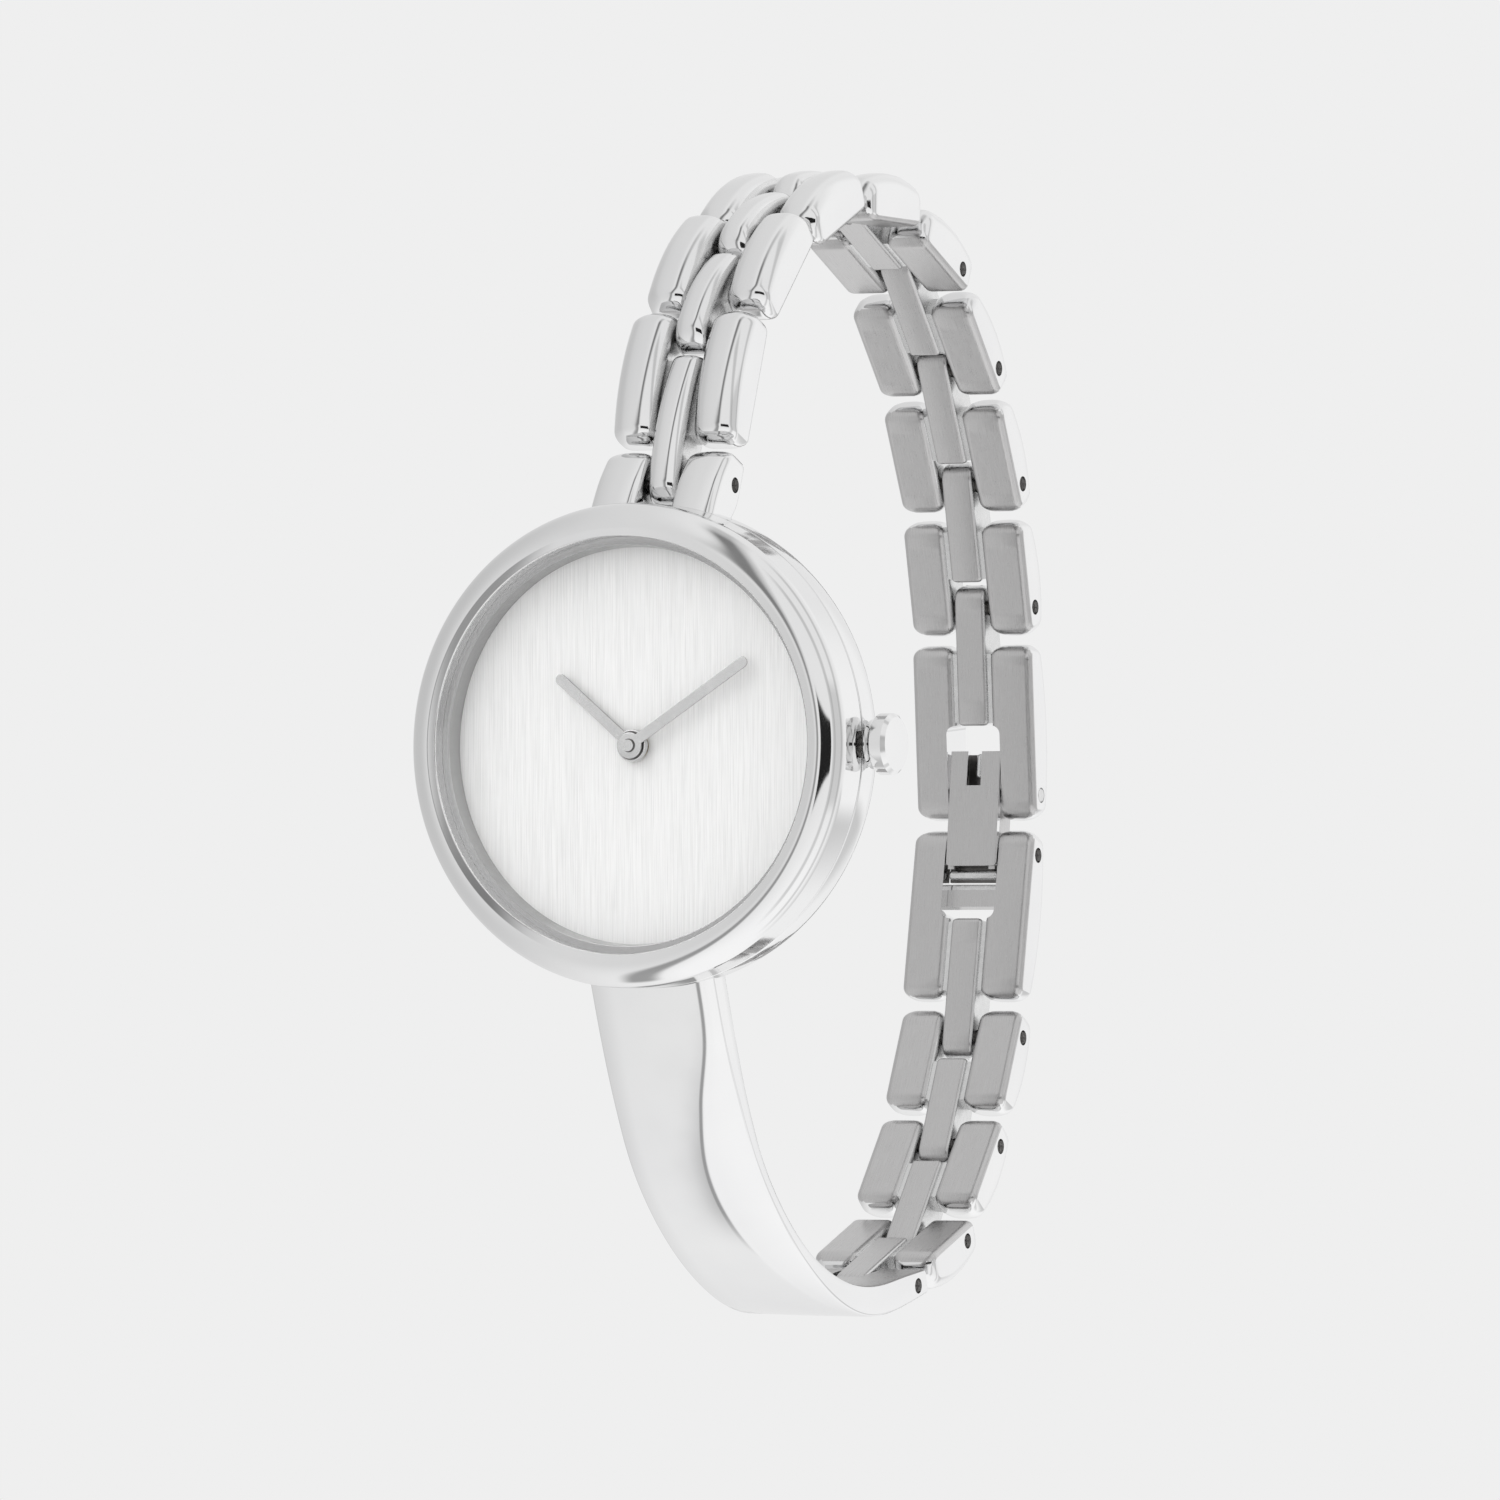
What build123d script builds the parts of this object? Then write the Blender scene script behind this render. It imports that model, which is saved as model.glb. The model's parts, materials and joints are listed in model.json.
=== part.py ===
from build123d import *
import math
import os

os.makedirs("parts", exist_ok=True)

# A bangle watch that stands as it is worn on an upright wrist. X runs from 9 to 3 o'clock, towards the
# crown, Y runs from the dial to the clasp, and Z points up, to 12 o'clock. The origin is the centre of the
# wrist opening. All sizes are in millimetres.

# Driving dimensions of the whole watch
bezel_diameter = 28.1
band_width = 8.1
wrist_depth = 40.6
case_depth = 4.8

# Fits and clearances
running_fit = 0.05
pin_fit = 0.015
face_gap = 0.02
side_gap = 0.2
overrun = 6.0

# Bezel: a domed ring round the crystal. Heights run forward from the dial's face, depths run back from it.
bezel_height = 2.2
bezel_back = 1.05
bezel_lip_height = 1.72
bezel_lip_play = 0.03
bezel_rise = -0.1
bezel_rise_height = 2.06
bezel_rise_mid_height = 2.15
bezel_peak = 0.2
bezel_shoulder = 0.406
bezel_shoulder_height = 1.768
bezel_wall_height = 1.0
bezel_edge = 0.1

# Middle case: each step inwards from the bezel's rim
bezel_wall = 0.95
neck_wall = 0.7
neck_height = 0.95
seat_ledge = 0.7
gasket_ledge = 0.4
gasket_seat_depth = 0.27
back_lip = 0.5
rear_rim = 0.3
band_front = 1.15
band_rear = 2.5
case_curve_radius_share = 0.71
case_curve_depth_share = 0.59

# Crystal, gasket and dial ring
gasket_width = 0.32
crystal_thickness = 0.9
crystal_edge = 0.12
crystal_gasket_height = 0.55
dial_ring_height = 1.13
dial_ring_width = 0.84
dial_ring_slope = 0.12
dial_ring_play = 0.06

# Dial
dial_play = 0.1
dial_thickness = 0.4
dial_hole = 0.85
dial_foot_radius = 0.35
dial_foot_length = 0.9
dial_foot_inset = 1.5
dial_foot_angle = 65

# Hands: lengths from the centre, angles from 3 o'clock against the clock
minute_hand_length = 8.75
minute_hand_angle = 33
minute_hand_height = 0.75
minute_hand_thickness = 0.12
minute_boss_radius = 0.75
hour_hand_length = 6.05
hour_hand_angle = 140
hour_hand_height = 0.45
hour_hand_thickness = 0.15
hour_boss_radius = 0.925
hour_boss_height = 0.25
hand_width = 0.56
cannon_radius = 0.34
cannon_height = 1.05
hour_pipe_radius = 0.62
hour_pipe_height = 0.56
boss_edge = 0.04

# Movement, inside the case
holder_play = 0.06
holder_width = 2.94
holder_front = 0.43
holder_rear_gap = 0.8
movement_gap = 0.03
plate_front = 0.5
plate_rear = 1.4
motion_well_depth = 0.62
wheel_gap = 0.04
wheel_thickness = 0.22
hour_wheel_depth = 0.54
minute_wheel_depth = 0.84
minute_wheel_x_share = 0.282
cannon_share = 0.25
pinion_share = 0.2
minute_arbor_hole = 0.25
battery_radius_share = 0.39
battery_height = 1.6
battery_x_share = -0.379
battery_z_share = 0.414
battery_edge = 0.15
battery_lift = 0.05
clip_strip_width = 1.6
clip_strip_thickness = 0.2
clip_strip_foot = 0.25
clip_strip_gap = 0.3
bridge_x_share = 0.414
bridge_z_share = 0.379
bridge_width_share = 0.598
bridge_height_share = 0.483
bridge_thickness = 1.2
bridge_corner = 0.8
jewel_radius = 0.32
jewel_circle = 1.25
board_x_share = 0.333
board_z_share = -0.345
board_width_share = 0.86
board_height_share = 0.3
board_thickness = 0.35
coil_x_share = 0.023
coil_z_share = -0.713
coil_length_share = 0.644
coil_radius = 0.8
coil_core_radius = 0.32
coil_end_length = 0.9
coil_end_height = 1.5
coil_depth = 2.3

# Crown, stem and tube
crown_depth = 2.05
crown_gap = 0.25
crown_length = 1.45
crown_radius = 1.78
crown_edge = 0.22
crown_waist_radius = 1.6
crown_skirt_radius = 1.45
crown_skirt_length = 0.3
crown_bore = 1.15
crown_bore_depth = 0.75
crown_socket_depth = 1.05
stem_radius = 0.4
stem_reach = 4.1
stem_groove_radius = 0.26
stem_groove_inset = 1.8
stem_groove_width = 0.5
tube_radius = 0.85
tube_bore = 0.46
tube_play = 0.05
tube_overlap = 0.26
crown_gasket_gap = 0.06
crown_gasket_length = 0.2
stem_way = 0.65
lever_width = 1.3
lever_rear = 3.2

# Case back
back_thickness = 0.58
back_edge = 0.25
back_plug_play = 0.04
back_plug_wall = 0.86
back_plug_length = 0.7
back_gasket_play = 0.04
back_gasket_height = 0.24

# H-links, in the section across the pins: along the link from its first pin, and out from the pin line
lug_pin_lift = 0.12
lug_pin_gap = 1.14
first_pitch = 9.68
upper_pitch = 7.69
lower_pitch = 7.32
outer_width = 2.85
link_inner = 0.95
link_outer = 1.9
link_end_outer = 1.15
link_end_middle = 0.1
link_start = 2.3
first_start = 2.57
link_end = 1.75
link_bulge = 0.35
link_corner = 0.6
link_edge = 0.22
link_heel = 0.1
tongue_tip = 1.4
tongue_bulge = 0.3
tongue_corner = 0.85
slot_end = 1.76
web_inset = 0.5
web_inner = 0.75
web_outer = 0.75
pin_radius = 0.45
pin_recess = 0.3
pin_edge = 0.08

# Directions of the links round the loop, in degrees from +Z towards +Y, from the lugs to the bangle's end
upper_angles = (21.2, 45.9, 66.5, 90.4, 114.6, 138.8, 153.7, 166.7)
upper_clasp_angle = 175.8
clasp_gap_angle = 186.8
lower_clasp_angle = 191.0
lower_angles = (206.0, 219.5, 249.6)

# Clasp
upper_clasp_reach = 11.53
clasp_gap = 3.71
lower_clasp_reach = 11.36
clasp_end = 1.55
upper_window_start = 7.2
lower_window_start = 7.3
window_step = 0.6
window_corner = 0.5
cross_bar_start = 0.75
cross_bar_length = 1.05
cross_bar_inner = 0.35
cross_bar_outer = 1.1
clip_plate = 0.4
clip_wall = 0.45
clip_outer = 0.95
clip_reach = 5.7
clip_tail = 1.5
clip_wall_tail = 0.95
clip_seat_gap = 0.14
clip_seat_lean = 0.45
clip_seat_foot = 0.2
clip_corner = 0.3
clip_slot_width = 0.93
clip_slot_length = 2.1
clip_bar_radius = 0.3
clip_bar_inset = 0.75
clip_bar_width = 1.6

# Lugs: shares of the reach back into the case, along and out of the first link's section
lug_reach = 3.3
lug_inner_shares = ((-0.97, -0.015), (-0.667, -0.103), (-0.303, -0.248), (0.424, -0.273))
lug_tip_shares = ((0.53, 0.03), (0.409, 0.333))
lug_front_shares = ((-0.121, 0.57), (-0.591, 0.66), (-1.0, 0.69))

# Bangle half: points of its outer and inner faces, as shares of the way back and down from its root to
# the pin at its end, and the corner line of its long facet, as shares of half the width at even stations
root_overlap = 0.1
root_front = 1.55
root_rear = 3.42
bangle_outer_shares = (
    (0.0123, 0.0476),
    (0.0582, 0.2169),
    (0.1093, 0.381),
    (0.1928, 0.599),
    (0.2952, 0.7656),
    (0.432, 0.9191),
    (0.5988, 1.0403),
    (0.7435, 1.09),
    (0.8629, 1.0805),
    (0.9678, 1.0503),
)
bangle_inner_shares = (
    (0.0093, 0.0349),
    (0.0493, 0.1825),
    (0.1048, 0.3646),
    (0.1657, 0.5228),
    (0.2165, 0.6244),
    (0.3186, 0.7641),
    (0.442, 0.8821),
    (0.5891, 0.963),
    (0.7055, 0.9916),
    (0.8141, 0.9905),
    (0.9111, 0.9709),
)
bangle_tip_back = 1.2
bangle_tip_below = 0.45
bangle_tip_bulge = 1.5
bangle_tip_bulge_above = 0.12
bangle_tip_inside = 0.9
bangle_tip_above = 0.95
bangle_edge = 0.12
bangle_cut = 1.2
facet_shares = (0.765, 0.716, 0.432, 0.247, 0.259, 0.432, 0.679, 0.889, 1.074, 1.235)
facet_slope_share = 0.2
tenon_width = 5.0
tenon_front = 2.15
tenon_rear = 3.0
tenon_depth = 1.0
tenon_grip = 0.95

# Values worked out from the sizes above
bezel_radius = bezel_diameter / 2
half_band = band_width / 2
half_slot = half_band - outer_width
half_centre = half_slot - side_gap
dial_y = -(wrist_depth / 2 + case_depth)
window_width = 2 * (half_slot + window_step)
clip_width = window_width - 2 * side_gap
case_rear = case_depth - back_thickness - face_gap
back_plug_front = case_rear - back_plug_length
neck_radius = bezel_radius - bezel_wall
dial_seat = neck_radius - neck_wall
bezel_bore = dial_seat
case_bore = dial_seat - seat_ledge
gasket_seat_radius = case_bore + gasket_ledge
back_radius = gasket_seat_radius + back_lip
case_rear_radius = back_radius + rear_rim
case_curve_radius = case_rear_radius + case_curve_radius_share * (bezel_radius - case_rear_radius)
case_curve_depth = band_rear + case_curve_depth_share * (case_rear - band_rear)
crystal_radius = bezel_bore - gasket_width
bezel_lip = crystal_radius + bezel_lip_play
crystal_height = dial_ring_height + face_gap
dial_ring_radius = dial_seat - dial_ring_play
dial_ring_foot = dial_ring_radius - dial_ring_width
dial_radius = dial_seat - dial_play
holder_radius = case_bore - holder_play
movement_radius = holder_radius - holder_width
dial_foot_circle = holder_radius - dial_foot_inset
holder_rear = case_rear - holder_rear_gap
battery_radius = battery_radius_share * movement_radius
clip_strip_reach = battery_radius + clip_strip_gap
battery_x = battery_x_share * movement_radius
battery_z = battery_z_share * movement_radius
bridge_x = bridge_x_share * movement_radius
bridge_z = bridge_z_share * movement_radius
bridge_width = bridge_width_share * movement_radius
bridge_height = bridge_height_share * movement_radius
board_x = board_x_share * movement_radius
board_z = board_z_share * movement_radius
board_width = board_width_share * movement_radius
board_height = board_height_share * movement_radius
coil_x = coil_x_share * movement_radius
coil_z = coil_z_share * movement_radius
coil_length = coil_length_share * movement_radius
minute_wheel_x = minute_wheel_x_share * movement_radius
crown_start = bezel_radius + crown_gap
crown_end = crown_start + crown_length
tube_start = case_bore + tube_play
tube_end = crown_start + tube_overlap
stem_start = movement_radius - stem_reach
stem_groove_start = movement_radius - stem_groove_inset
back_plug_radius = case_bore - back_plug_play
root_height = case_rear_radius + root_overlap
tenon_top = -case_bore - tenon_depth
tenon_bottom = -bezel_radius - tenon_grip

case_section = Plane(origin=(0, dial_y, 0), x_dir=(1, 0, 0), z_dir=(0, 0, 1))
case_axis = Axis((0, dial_y, 0), (0, 1, 0))


def facing(depth):
    """The plane at a depth behind the dial's face, seen from the front: local X is X and local Y is Z."""
    return Plane(origin=(0, dial_y + depth, 0), x_dir=(1, 0, 0), z_dir=(0, -1, 0))


def across(x):
    """The plane across the crown's axis at a place along X: local X is Y and local Y is Z."""
    return Plane(origin=(x, dial_y + crown_depth, 0), x_dir=(0, 1, 0), z_dir=(1, 0, 0))


def step_to(point, length, angle):
    """The next pin centre (Y, Z), at a length and an angle from +Z towards +Y."""
    turn = math.radians(angle)
    return (point[0] + length * math.sin(turn), point[1] + length * math.cos(turn))


def along(pin, toward, side):
    """The section plane through a pin: local X runs to the next pin, local Y runs out of the band."""
    run = (0, toward[0] - pin[0], toward[1] - pin[1])
    return Plane(origin=(0, pin[0], pin[1]), x_dir=run, z_dir=(side, 0, 0))


def save(piece, name):
    """Label a finished piece and write its file."""
    piece.part.label = name
    export_step(piece.part, f"parts/{name}.step")


def turned(name, outline, chamfers=0):
    """A piece turned about the hands' axis, from an outline of (radius, depth behind the dial's face)."""
    with BuildPart() as piece:
        with BuildSketch(case_section):
            with BuildLine():
                Polyline(*outline, close=True)
            make_face()
        revolve(axis=case_axis)
    save(piece, name)
    return piece


# Pin centres (Y, Z) round the loop
upper_pins = [(dial_y + case_depth - lug_pin_lift, bezel_radius + lug_pin_gap)]
for count, angle in enumerate(upper_angles):
    upper_pins.append(step_to(upper_pins[-1], upper_pitch if count else first_pitch, angle))
catch_pin_at = step_to(upper_pins[-1], upper_clasp_reach, upper_clasp_angle)
clip_pin_at = step_to(catch_pin_at, clasp_gap, clasp_gap_angle)
lower_pins = [step_to(clip_pin_at, lower_clasp_reach, lower_clasp_angle)]
for angle in lower_angles:
    lower_pins.append(step_to(lower_pins[-1], lower_pitch, angle))
lower_pins.reverse()

# Bezel
with BuildPart() as bezel:
    with BuildSketch(case_section):
        with BuildLine():
            Polyline(
                (bezel_bore, -neck_height - face_gap),
                (bezel_bore, -bezel_lip_height),
                (bezel_lip, -bezel_lip_height),
                (bezel_lip, -bezel_rise_height),
            )
            ThreePointArc(
                (bezel_lip, -bezel_rise_height),
                (bezel_bore + bezel_rise, -bezel_rise_mid_height),
                (bezel_bore + bezel_peak, -bezel_height),
            )
            ThreePointArc(
                (bezel_bore + bezel_peak, -bezel_height),
                (bezel_radius - bezel_shoulder, -bezel_shoulder_height),
                (bezel_radius, -bezel_wall_height),
            )
            Polyline(
                (bezel_radius, -bezel_wall_height),
                (bezel_radius, bezel_back - bezel_edge),
                (bezel_radius - bezel_edge, bezel_back),
                (neck_radius + face_gap, bezel_back),
                (neck_radius + face_gap, -neck_height - face_gap),
                (bezel_bore, -neck_height - face_gap),
            )
        make_face()
    revolve(axis=case_axis)
save(bezel, "bezel")

# Middle case with its two lugs
with BuildPart() as case_body:
    with BuildSketch(case_section):
        with BuildLine():
            Polyline(
                (dial_seat, -neck_height),
                (neck_radius, -neck_height),
                (neck_radius, band_front),
                (bezel_radius, band_front),
                (bezel_radius, band_rear),
            )
            ThreePointArc(
                (bezel_radius, band_rear),
                (case_curve_radius, case_curve_depth),
                (case_rear_radius, case_rear),
            )
            Polyline(
                (case_rear_radius, case_rear),
                (gasket_seat_radius, case_rear),
                (gasket_seat_radius, case_rear - gasket_seat_depth),
                (case_bore, case_rear - gasket_seat_depth),
                (case_bore, dial_thickness + face_gap),
                (dial_seat, dial_thickness + face_gap),
                (dial_seat, -neck_height),
            )
        make_face()
    revolve(axis=case_axis)
    # The lugs hold the first link's tongue between them
    lug_section = along(upper_pins[0], upper_pins[1], 1)
    lug_inner, lug_tip, lug_front = (
        [(lug_reach * run, lug_reach * out) for run, out in shares]
        for shares in (lug_inner_shares, lug_tip_shares, lug_front_shares)
    )
    for near in (half_slot, -half_band):
        with BuildSketch(lug_section.offset(near)):
            with BuildLine():
                Polyline(*lug_inner)
                ThreePointArc(lug_inner[-1], *lug_tip)
                Spline(lug_tip[-1], *lug_front[:2])
                Polyline(*lug_front[1:], lug_inner[0])
            make_face()
        extrude(amount=outer_width)
    with BuildSketch(Plane(origin=(-half_band, upper_pins[0][0], upper_pins[0][1]), z_dir=(1, 0, 0))):
        Circle(pin_radius + pin_fit)
    extrude(amount=band_width, mode=Mode.SUBTRACT)
    # The way for the crown's tube, and the socket of the bangle's tenon
    with BuildSketch(across(holder_radius)):
        Circle(tube_radius + pin_fit)
    extrude(amount=overrun, mode=Mode.SUBTRACT)
    with BuildSketch(facing(tenon_rear + pin_fit)):
        with Locations((0, tenon_top + face_gap - overrun / 2)):
            Rectangle(tenon_width + 2 * pin_fit, overrun)
    extrude(amount=tenon_rear - tenon_front + 2 * pin_fit, mode=Mode.SUBTRACT)
save(case_body, "case_body")

# Crystal, its gasket, the dial ring and the dial
turned("crystal", (
    (0, -crystal_height),
    (crystal_radius, -crystal_height),
    (crystal_radius, crystal_edge - crystal_height - crystal_thickness),
    (crystal_radius - crystal_edge, -crystal_height - crystal_thickness),
    (0, -crystal_height - crystal_thickness),
))
turned("crystal_gasket", (
    (crystal_radius + face_gap, -crystal_height),
    (bezel_bore - face_gap, -crystal_height),
    (bezel_bore - face_gap, -crystal_height - crystal_gasket_height),
    (crystal_radius + face_gap, -crystal_height - crystal_gasket_height),
))
turned("dial_ring", (
    (dial_ring_foot, -face_gap),
    (dial_ring_foot + dial_ring_slope, -dial_ring_height),
    (dial_ring_radius, -dial_ring_height),
    (dial_ring_radius, -face_gap),
))
with BuildPart() as dial:
    with BuildSketch(facing(dial_thickness)):
        Circle(dial_radius)
        Circle(dial_hole, mode=Mode.SUBTRACT)
    extrude(amount=dial_thickness)
    with BuildSketch(facing(dial_thickness + dial_foot_length)):
        with PolarLocations(dial_foot_circle, 2, start_angle=dial_foot_angle):
            Circle(dial_foot_radius)
    extrude(amount=dial_foot_length)
save(dial, "dial")


def hand(name, length, angle, height, thickness, boss_radius, boss_start, bore):
    """A hand with round ends and a boss pressed on its pipe."""
    with BuildPart() as piece:
        with BuildSketch(facing(-height)):
            with Locations(Location((0, 0, 0), (0, 0, angle))):
                with Locations((length / 2, 0)):
                    SlotOverall(length + hand_width, hand_width)
        extrude(amount=thickness)
        with BuildSketch(facing(-boss_start)):
            Circle(boss_radius)
        extrude(amount=height + thickness - boss_start)
        chamfer(piece.faces().sort_by(Axis.Y)[0].edges().filter_by(GeomType.CIRCLE), length=boss_edge)
        with BuildSketch(facing(overrun)):
            Circle(bore + pin_fit)
        extrude(amount=2 * overrun, mode=Mode.SUBTRACT)
    save(piece, name)


hand("hour_hand", hour_hand_length, hour_hand_angle, hour_hand_height, hour_hand_thickness,
     hour_boss_radius, hour_boss_height, hour_pipe_radius)
hand("minute_hand", minute_hand_length, minute_hand_angle, minute_hand_height, minute_hand_thickness,
     minute_boss_radius, minute_hand_height - boss_edge, cannon_radius)

# Motion work under the dial: the wheels' rims nearly touch, so each one drives the next
cannon_rim = minute_wheel_x * cannon_share - wheel_gap
minute_rim = minute_wheel_x * (1 - cannon_share) - wheel_gap
pinion_rim = minute_wheel_x * pinion_share - wheel_gap
hour_rim = minute_wheel_x * (1 - pinion_share) - wheel_gap
turned("cannon_pinion", (
    (0, minute_wheel_depth + wheel_thickness),
    (cannon_rim, minute_wheel_depth + wheel_thickness),
    (cannon_rim, minute_wheel_depth),
    (cannon_radius, minute_wheel_depth),
    (cannon_radius, -cannon_height),
    (0, -cannon_height),
))
turned("hour_wheel", (
    (cannon_radius + running_fit, hour_wheel_depth + wheel_thickness),
    (hour_rim, hour_wheel_depth + wheel_thickness),
    (hour_rim, hour_wheel_depth),
    (hour_pipe_radius, hour_wheel_depth),
    (hour_pipe_radius, -hour_pipe_height),
    (cannon_radius + running_fit, -hour_pipe_height),
))
with BuildPart() as minute_wheel:
    with BuildSketch(facing(minute_wheel_depth + wheel_thickness)):
        with Locations((minute_wheel_x, 0)):
            Circle(minute_rim)
    extrude(amount=wheel_thickness)
    with BuildSketch(facing(minute_wheel_depth)):
        with Locations((minute_wheel_x, 0)):
            Circle(pinion_rim)
    extrude(amount=minute_wheel_depth - hour_wheel_depth)
    with BuildSketch(facing(overrun)):
        with Locations((minute_wheel_x, 0)):
            Circle(minute_arbor_hole + running_fit)
    extrude(amount=2 * overrun, mode=Mode.SUBTRACT)
save(minute_wheel, "minute_wheel")

# Movement plate with a well for the wheels and the arbor of the minute wheel
with BuildPart() as movement_plate:
    with BuildSketch(facing(plate_rear)):
        Circle(movement_radius)
    extrude(amount=plate_rear - plate_front)
    with BuildSketch(facing(plate_front + motion_well_depth)):
        Circle(hour_rim + side_gap)
        with Locations((minute_wheel_x, 0)):
            Circle(minute_rim + side_gap)
    extrude(amount=motion_well_depth, mode=Mode.SUBTRACT)
    with BuildSketch(facing(plate_front + motion_well_depth)):
        with Locations((minute_wheel_x, 0)):
            Circle(minute_arbor_hole)
    extrude(amount=motion_well_depth)
save(movement_plate, "movement_plate")

# Movement holder, with the stem's way and holes for the dial's feet
with BuildPart() as movement_holder:
    with BuildSketch(facing(holder_rear)):
        Circle(holder_radius)
        Circle(movement_radius + movement_gap, mode=Mode.SUBTRACT)
        with PolarLocations(dial_foot_circle, 2, start_angle=dial_foot_angle):
            Circle(dial_foot_radius + pin_fit, mode=Mode.SUBTRACT)
    extrude(amount=holder_rear - holder_front)
    with BuildSketch(across(stem_start)):
        Circle(stem_way)
    extrude(amount=bezel_radius, mode=Mode.SUBTRACT)
save(movement_holder, "movement_holder")

with BuildPart() as battery:
    with BuildSketch(facing(plate_rear + battery_lift + battery_height)):
        with Locations((battery_x, battery_z)):
            Circle(battery_radius)
    extrude(amount=battery_height)
    chamfer(battery.faces().sort_by(Axis.Y)[-1].edges(), length=battery_edge)
save(battery, "battery")

with BuildPart() as battery_clip:
    strip_depth = plate_rear + battery_lift + battery_height + battery_lift
    with BuildSketch(facing(strip_depth + clip_strip_thickness)):
        with Locations((battery_x, battery_z)):
            Rectangle(2 * (clip_strip_reach + clip_strip_foot), clip_strip_width)
    extrude(amount=clip_strip_thickness)
    with BuildSketch(facing(strip_depth)):
        with Locations((battery_x, battery_z)):
            with GridLocations(2 * clip_strip_reach + clip_strip_foot, 0, 2, 1):
                Rectangle(clip_strip_foot, clip_strip_width)
    extrude(amount=strip_depth - plate_rear)
save(battery_clip, "battery_clip")

with BuildPart() as train_bridge:
    with BuildSketch(facing(plate_rear + bridge_thickness)):
        with Locations((bridge_x, bridge_z)):
            RectangleRounded(bridge_width, bridge_height, bridge_corner)
            with GridLocations(2 * jewel_circle, 0, 2, 1):
                Circle(jewel_radius, mode=Mode.SUBTRACT)
    extrude(amount=bridge_thickness)
save(train_bridge, "train_bridge")

with BuildPart() as circuit_board:
    with BuildSketch(facing(plate_rear + board_thickness)):
        with Locations((board_x, board_z)):
            RectangleRounded(board_width, board_height, bridge_corner)
    extrude(amount=board_thickness)
save(circuit_board, "circuit_board")

with BuildPart() as coil:
    coil_middle = Plane(origin=(coil_x, dial_y + coil_depth, coil_z), z_dir=(1, 0, 0))
    with BuildSketch(coil_middle.offset(-coil_length / 2)):
        Circle(coil_radius)
    extrude(amount=coil_length)
    for end in (-coil_length / 2 - coil_end_length, coil_length / 2):
        with BuildSketch(coil_middle.offset(end)):
            Rectangle(coil_end_height, coil_end_height)
        extrude(amount=coil_end_length)
save(coil, "coil")

# Crown and stem
with BuildPart() as crown_tube:
    with BuildSketch(across(tube_start)):
        Circle(tube_radius)
        Circle(tube_bore, mode=Mode.SUBTRACT)
    extrude(amount=tube_end - tube_start)
save(crown_tube, "crown_tube")

crown_section = Plane(origin=(0, dial_y + crown_depth, 0), x_dir=(1, 0, 0), z_dir=(0, 0, 1))
crown_axis = Axis((0, dial_y + crown_depth, 0), (1, 0, 0))
with BuildPart() as crown:
    with BuildSketch(crown_section):
        with BuildLine():
            Polyline(
                (crown_start, crown_bore),
                (crown_start, crown_skirt_radius),
                (crown_start + crown_skirt_length, crown_waist_radius),
                (crown_start + crown_skirt_length + crown_edge, crown_radius),
                (crown_end - crown_edge, crown_radius),
                (crown_end, crown_radius - crown_edge),
                (crown_end, 0),
                (crown_start + crown_socket_depth, 0),
                (crown_start + crown_socket_depth, stem_radius + pin_fit),
                (crown_start + crown_bore_depth, stem_radius + pin_fit),
                (crown_start + crown_bore_depth, crown_bore),
                close=True,
            )
        make_face()
    revolve(axis=crown_axis)
save(crown, "crown")

with BuildPart() as stem:
    with BuildSketch(crown_section):
        with BuildLine():
            Polyline(
                (stem_start, 0),
                (stem_start, stem_radius),
                (stem_groove_start, stem_radius),
                (stem_groove_start, stem_groove_radius),
                (stem_groove_start + stem_groove_width, stem_groove_radius),
                (stem_groove_start + stem_groove_width, stem_radius),
                (crown_start + crown_socket_depth - face_gap, stem_radius),
                (crown_start + crown_socket_depth - face_gap, 0),
                close=True,
            )
        make_face()
    revolve(axis=crown_axis)
save(stem, "stem")

with BuildPart() as crown_gasket:
    with BuildSketch(across(crown_start + crown_gasket_gap)):
        Circle(crown_bore - face_gap)
        Circle(tube_radius + running_fit, mode=Mode.SUBTRACT)
    extrude(amount=crown_gasket_length)
save(crown_gasket, "crown_gasket")

with BuildPart() as setting_lever:
    lever_depth = lever_rear - crown_depth
    with BuildSketch(across(stem_groove_start + running_fit)):
        with Locations((lever_depth / 2, 0)):
            Rectangle(lever_depth, lever_width)
        Circle(stem_groove_radius + running_fit, mode=Mode.SUBTRACT)
    extrude(amount=stem_groove_width - 2 * running_fit)
save(setting_lever, "setting_lever")

# Case back and its gasket
turned("case_back", (
    (0, case_depth),
    (back_radius - back_edge, case_depth),
    (back_radius, case_depth - back_edge),
    (back_radius, case_depth - back_thickness),
    (back_plug_radius, case_depth - back_thickness),
    (back_plug_radius, back_plug_front),
    (back_plug_radius - back_plug_wall, back_plug_front),
    (back_plug_radius - back_plug_wall, case_depth - back_thickness),
    (0, case_depth - back_thickness),
))
turned("case_back_gasket", (
    (case_bore + back_gasket_play, case_rear),
    (gasket_seat_radius - back_gasket_play, case_rear),
    (gasket_seat_radius - back_gasket_play, case_rear - back_gasket_height),
    (case_bore + back_gasket_play, case_rear - back_gasket_height),
))

# Bangle half: a curved strip with a long facet on the crown's side of its outer face
bangle_end_at = lower_pins[0]


def face_line(front, shares):
    """Points (Y, Z) of a face of the bangle, from its root at a depth behind the dial's face."""
    root = (dial_y + front, -root_height)
    reach = (bangle_end_at[0] - root[0], bangle_end_at[1] - root[1])
    return [root] + [(root[0] + back * reach[0], root[1] + down * reach[1]) for back, down in shares]


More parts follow.
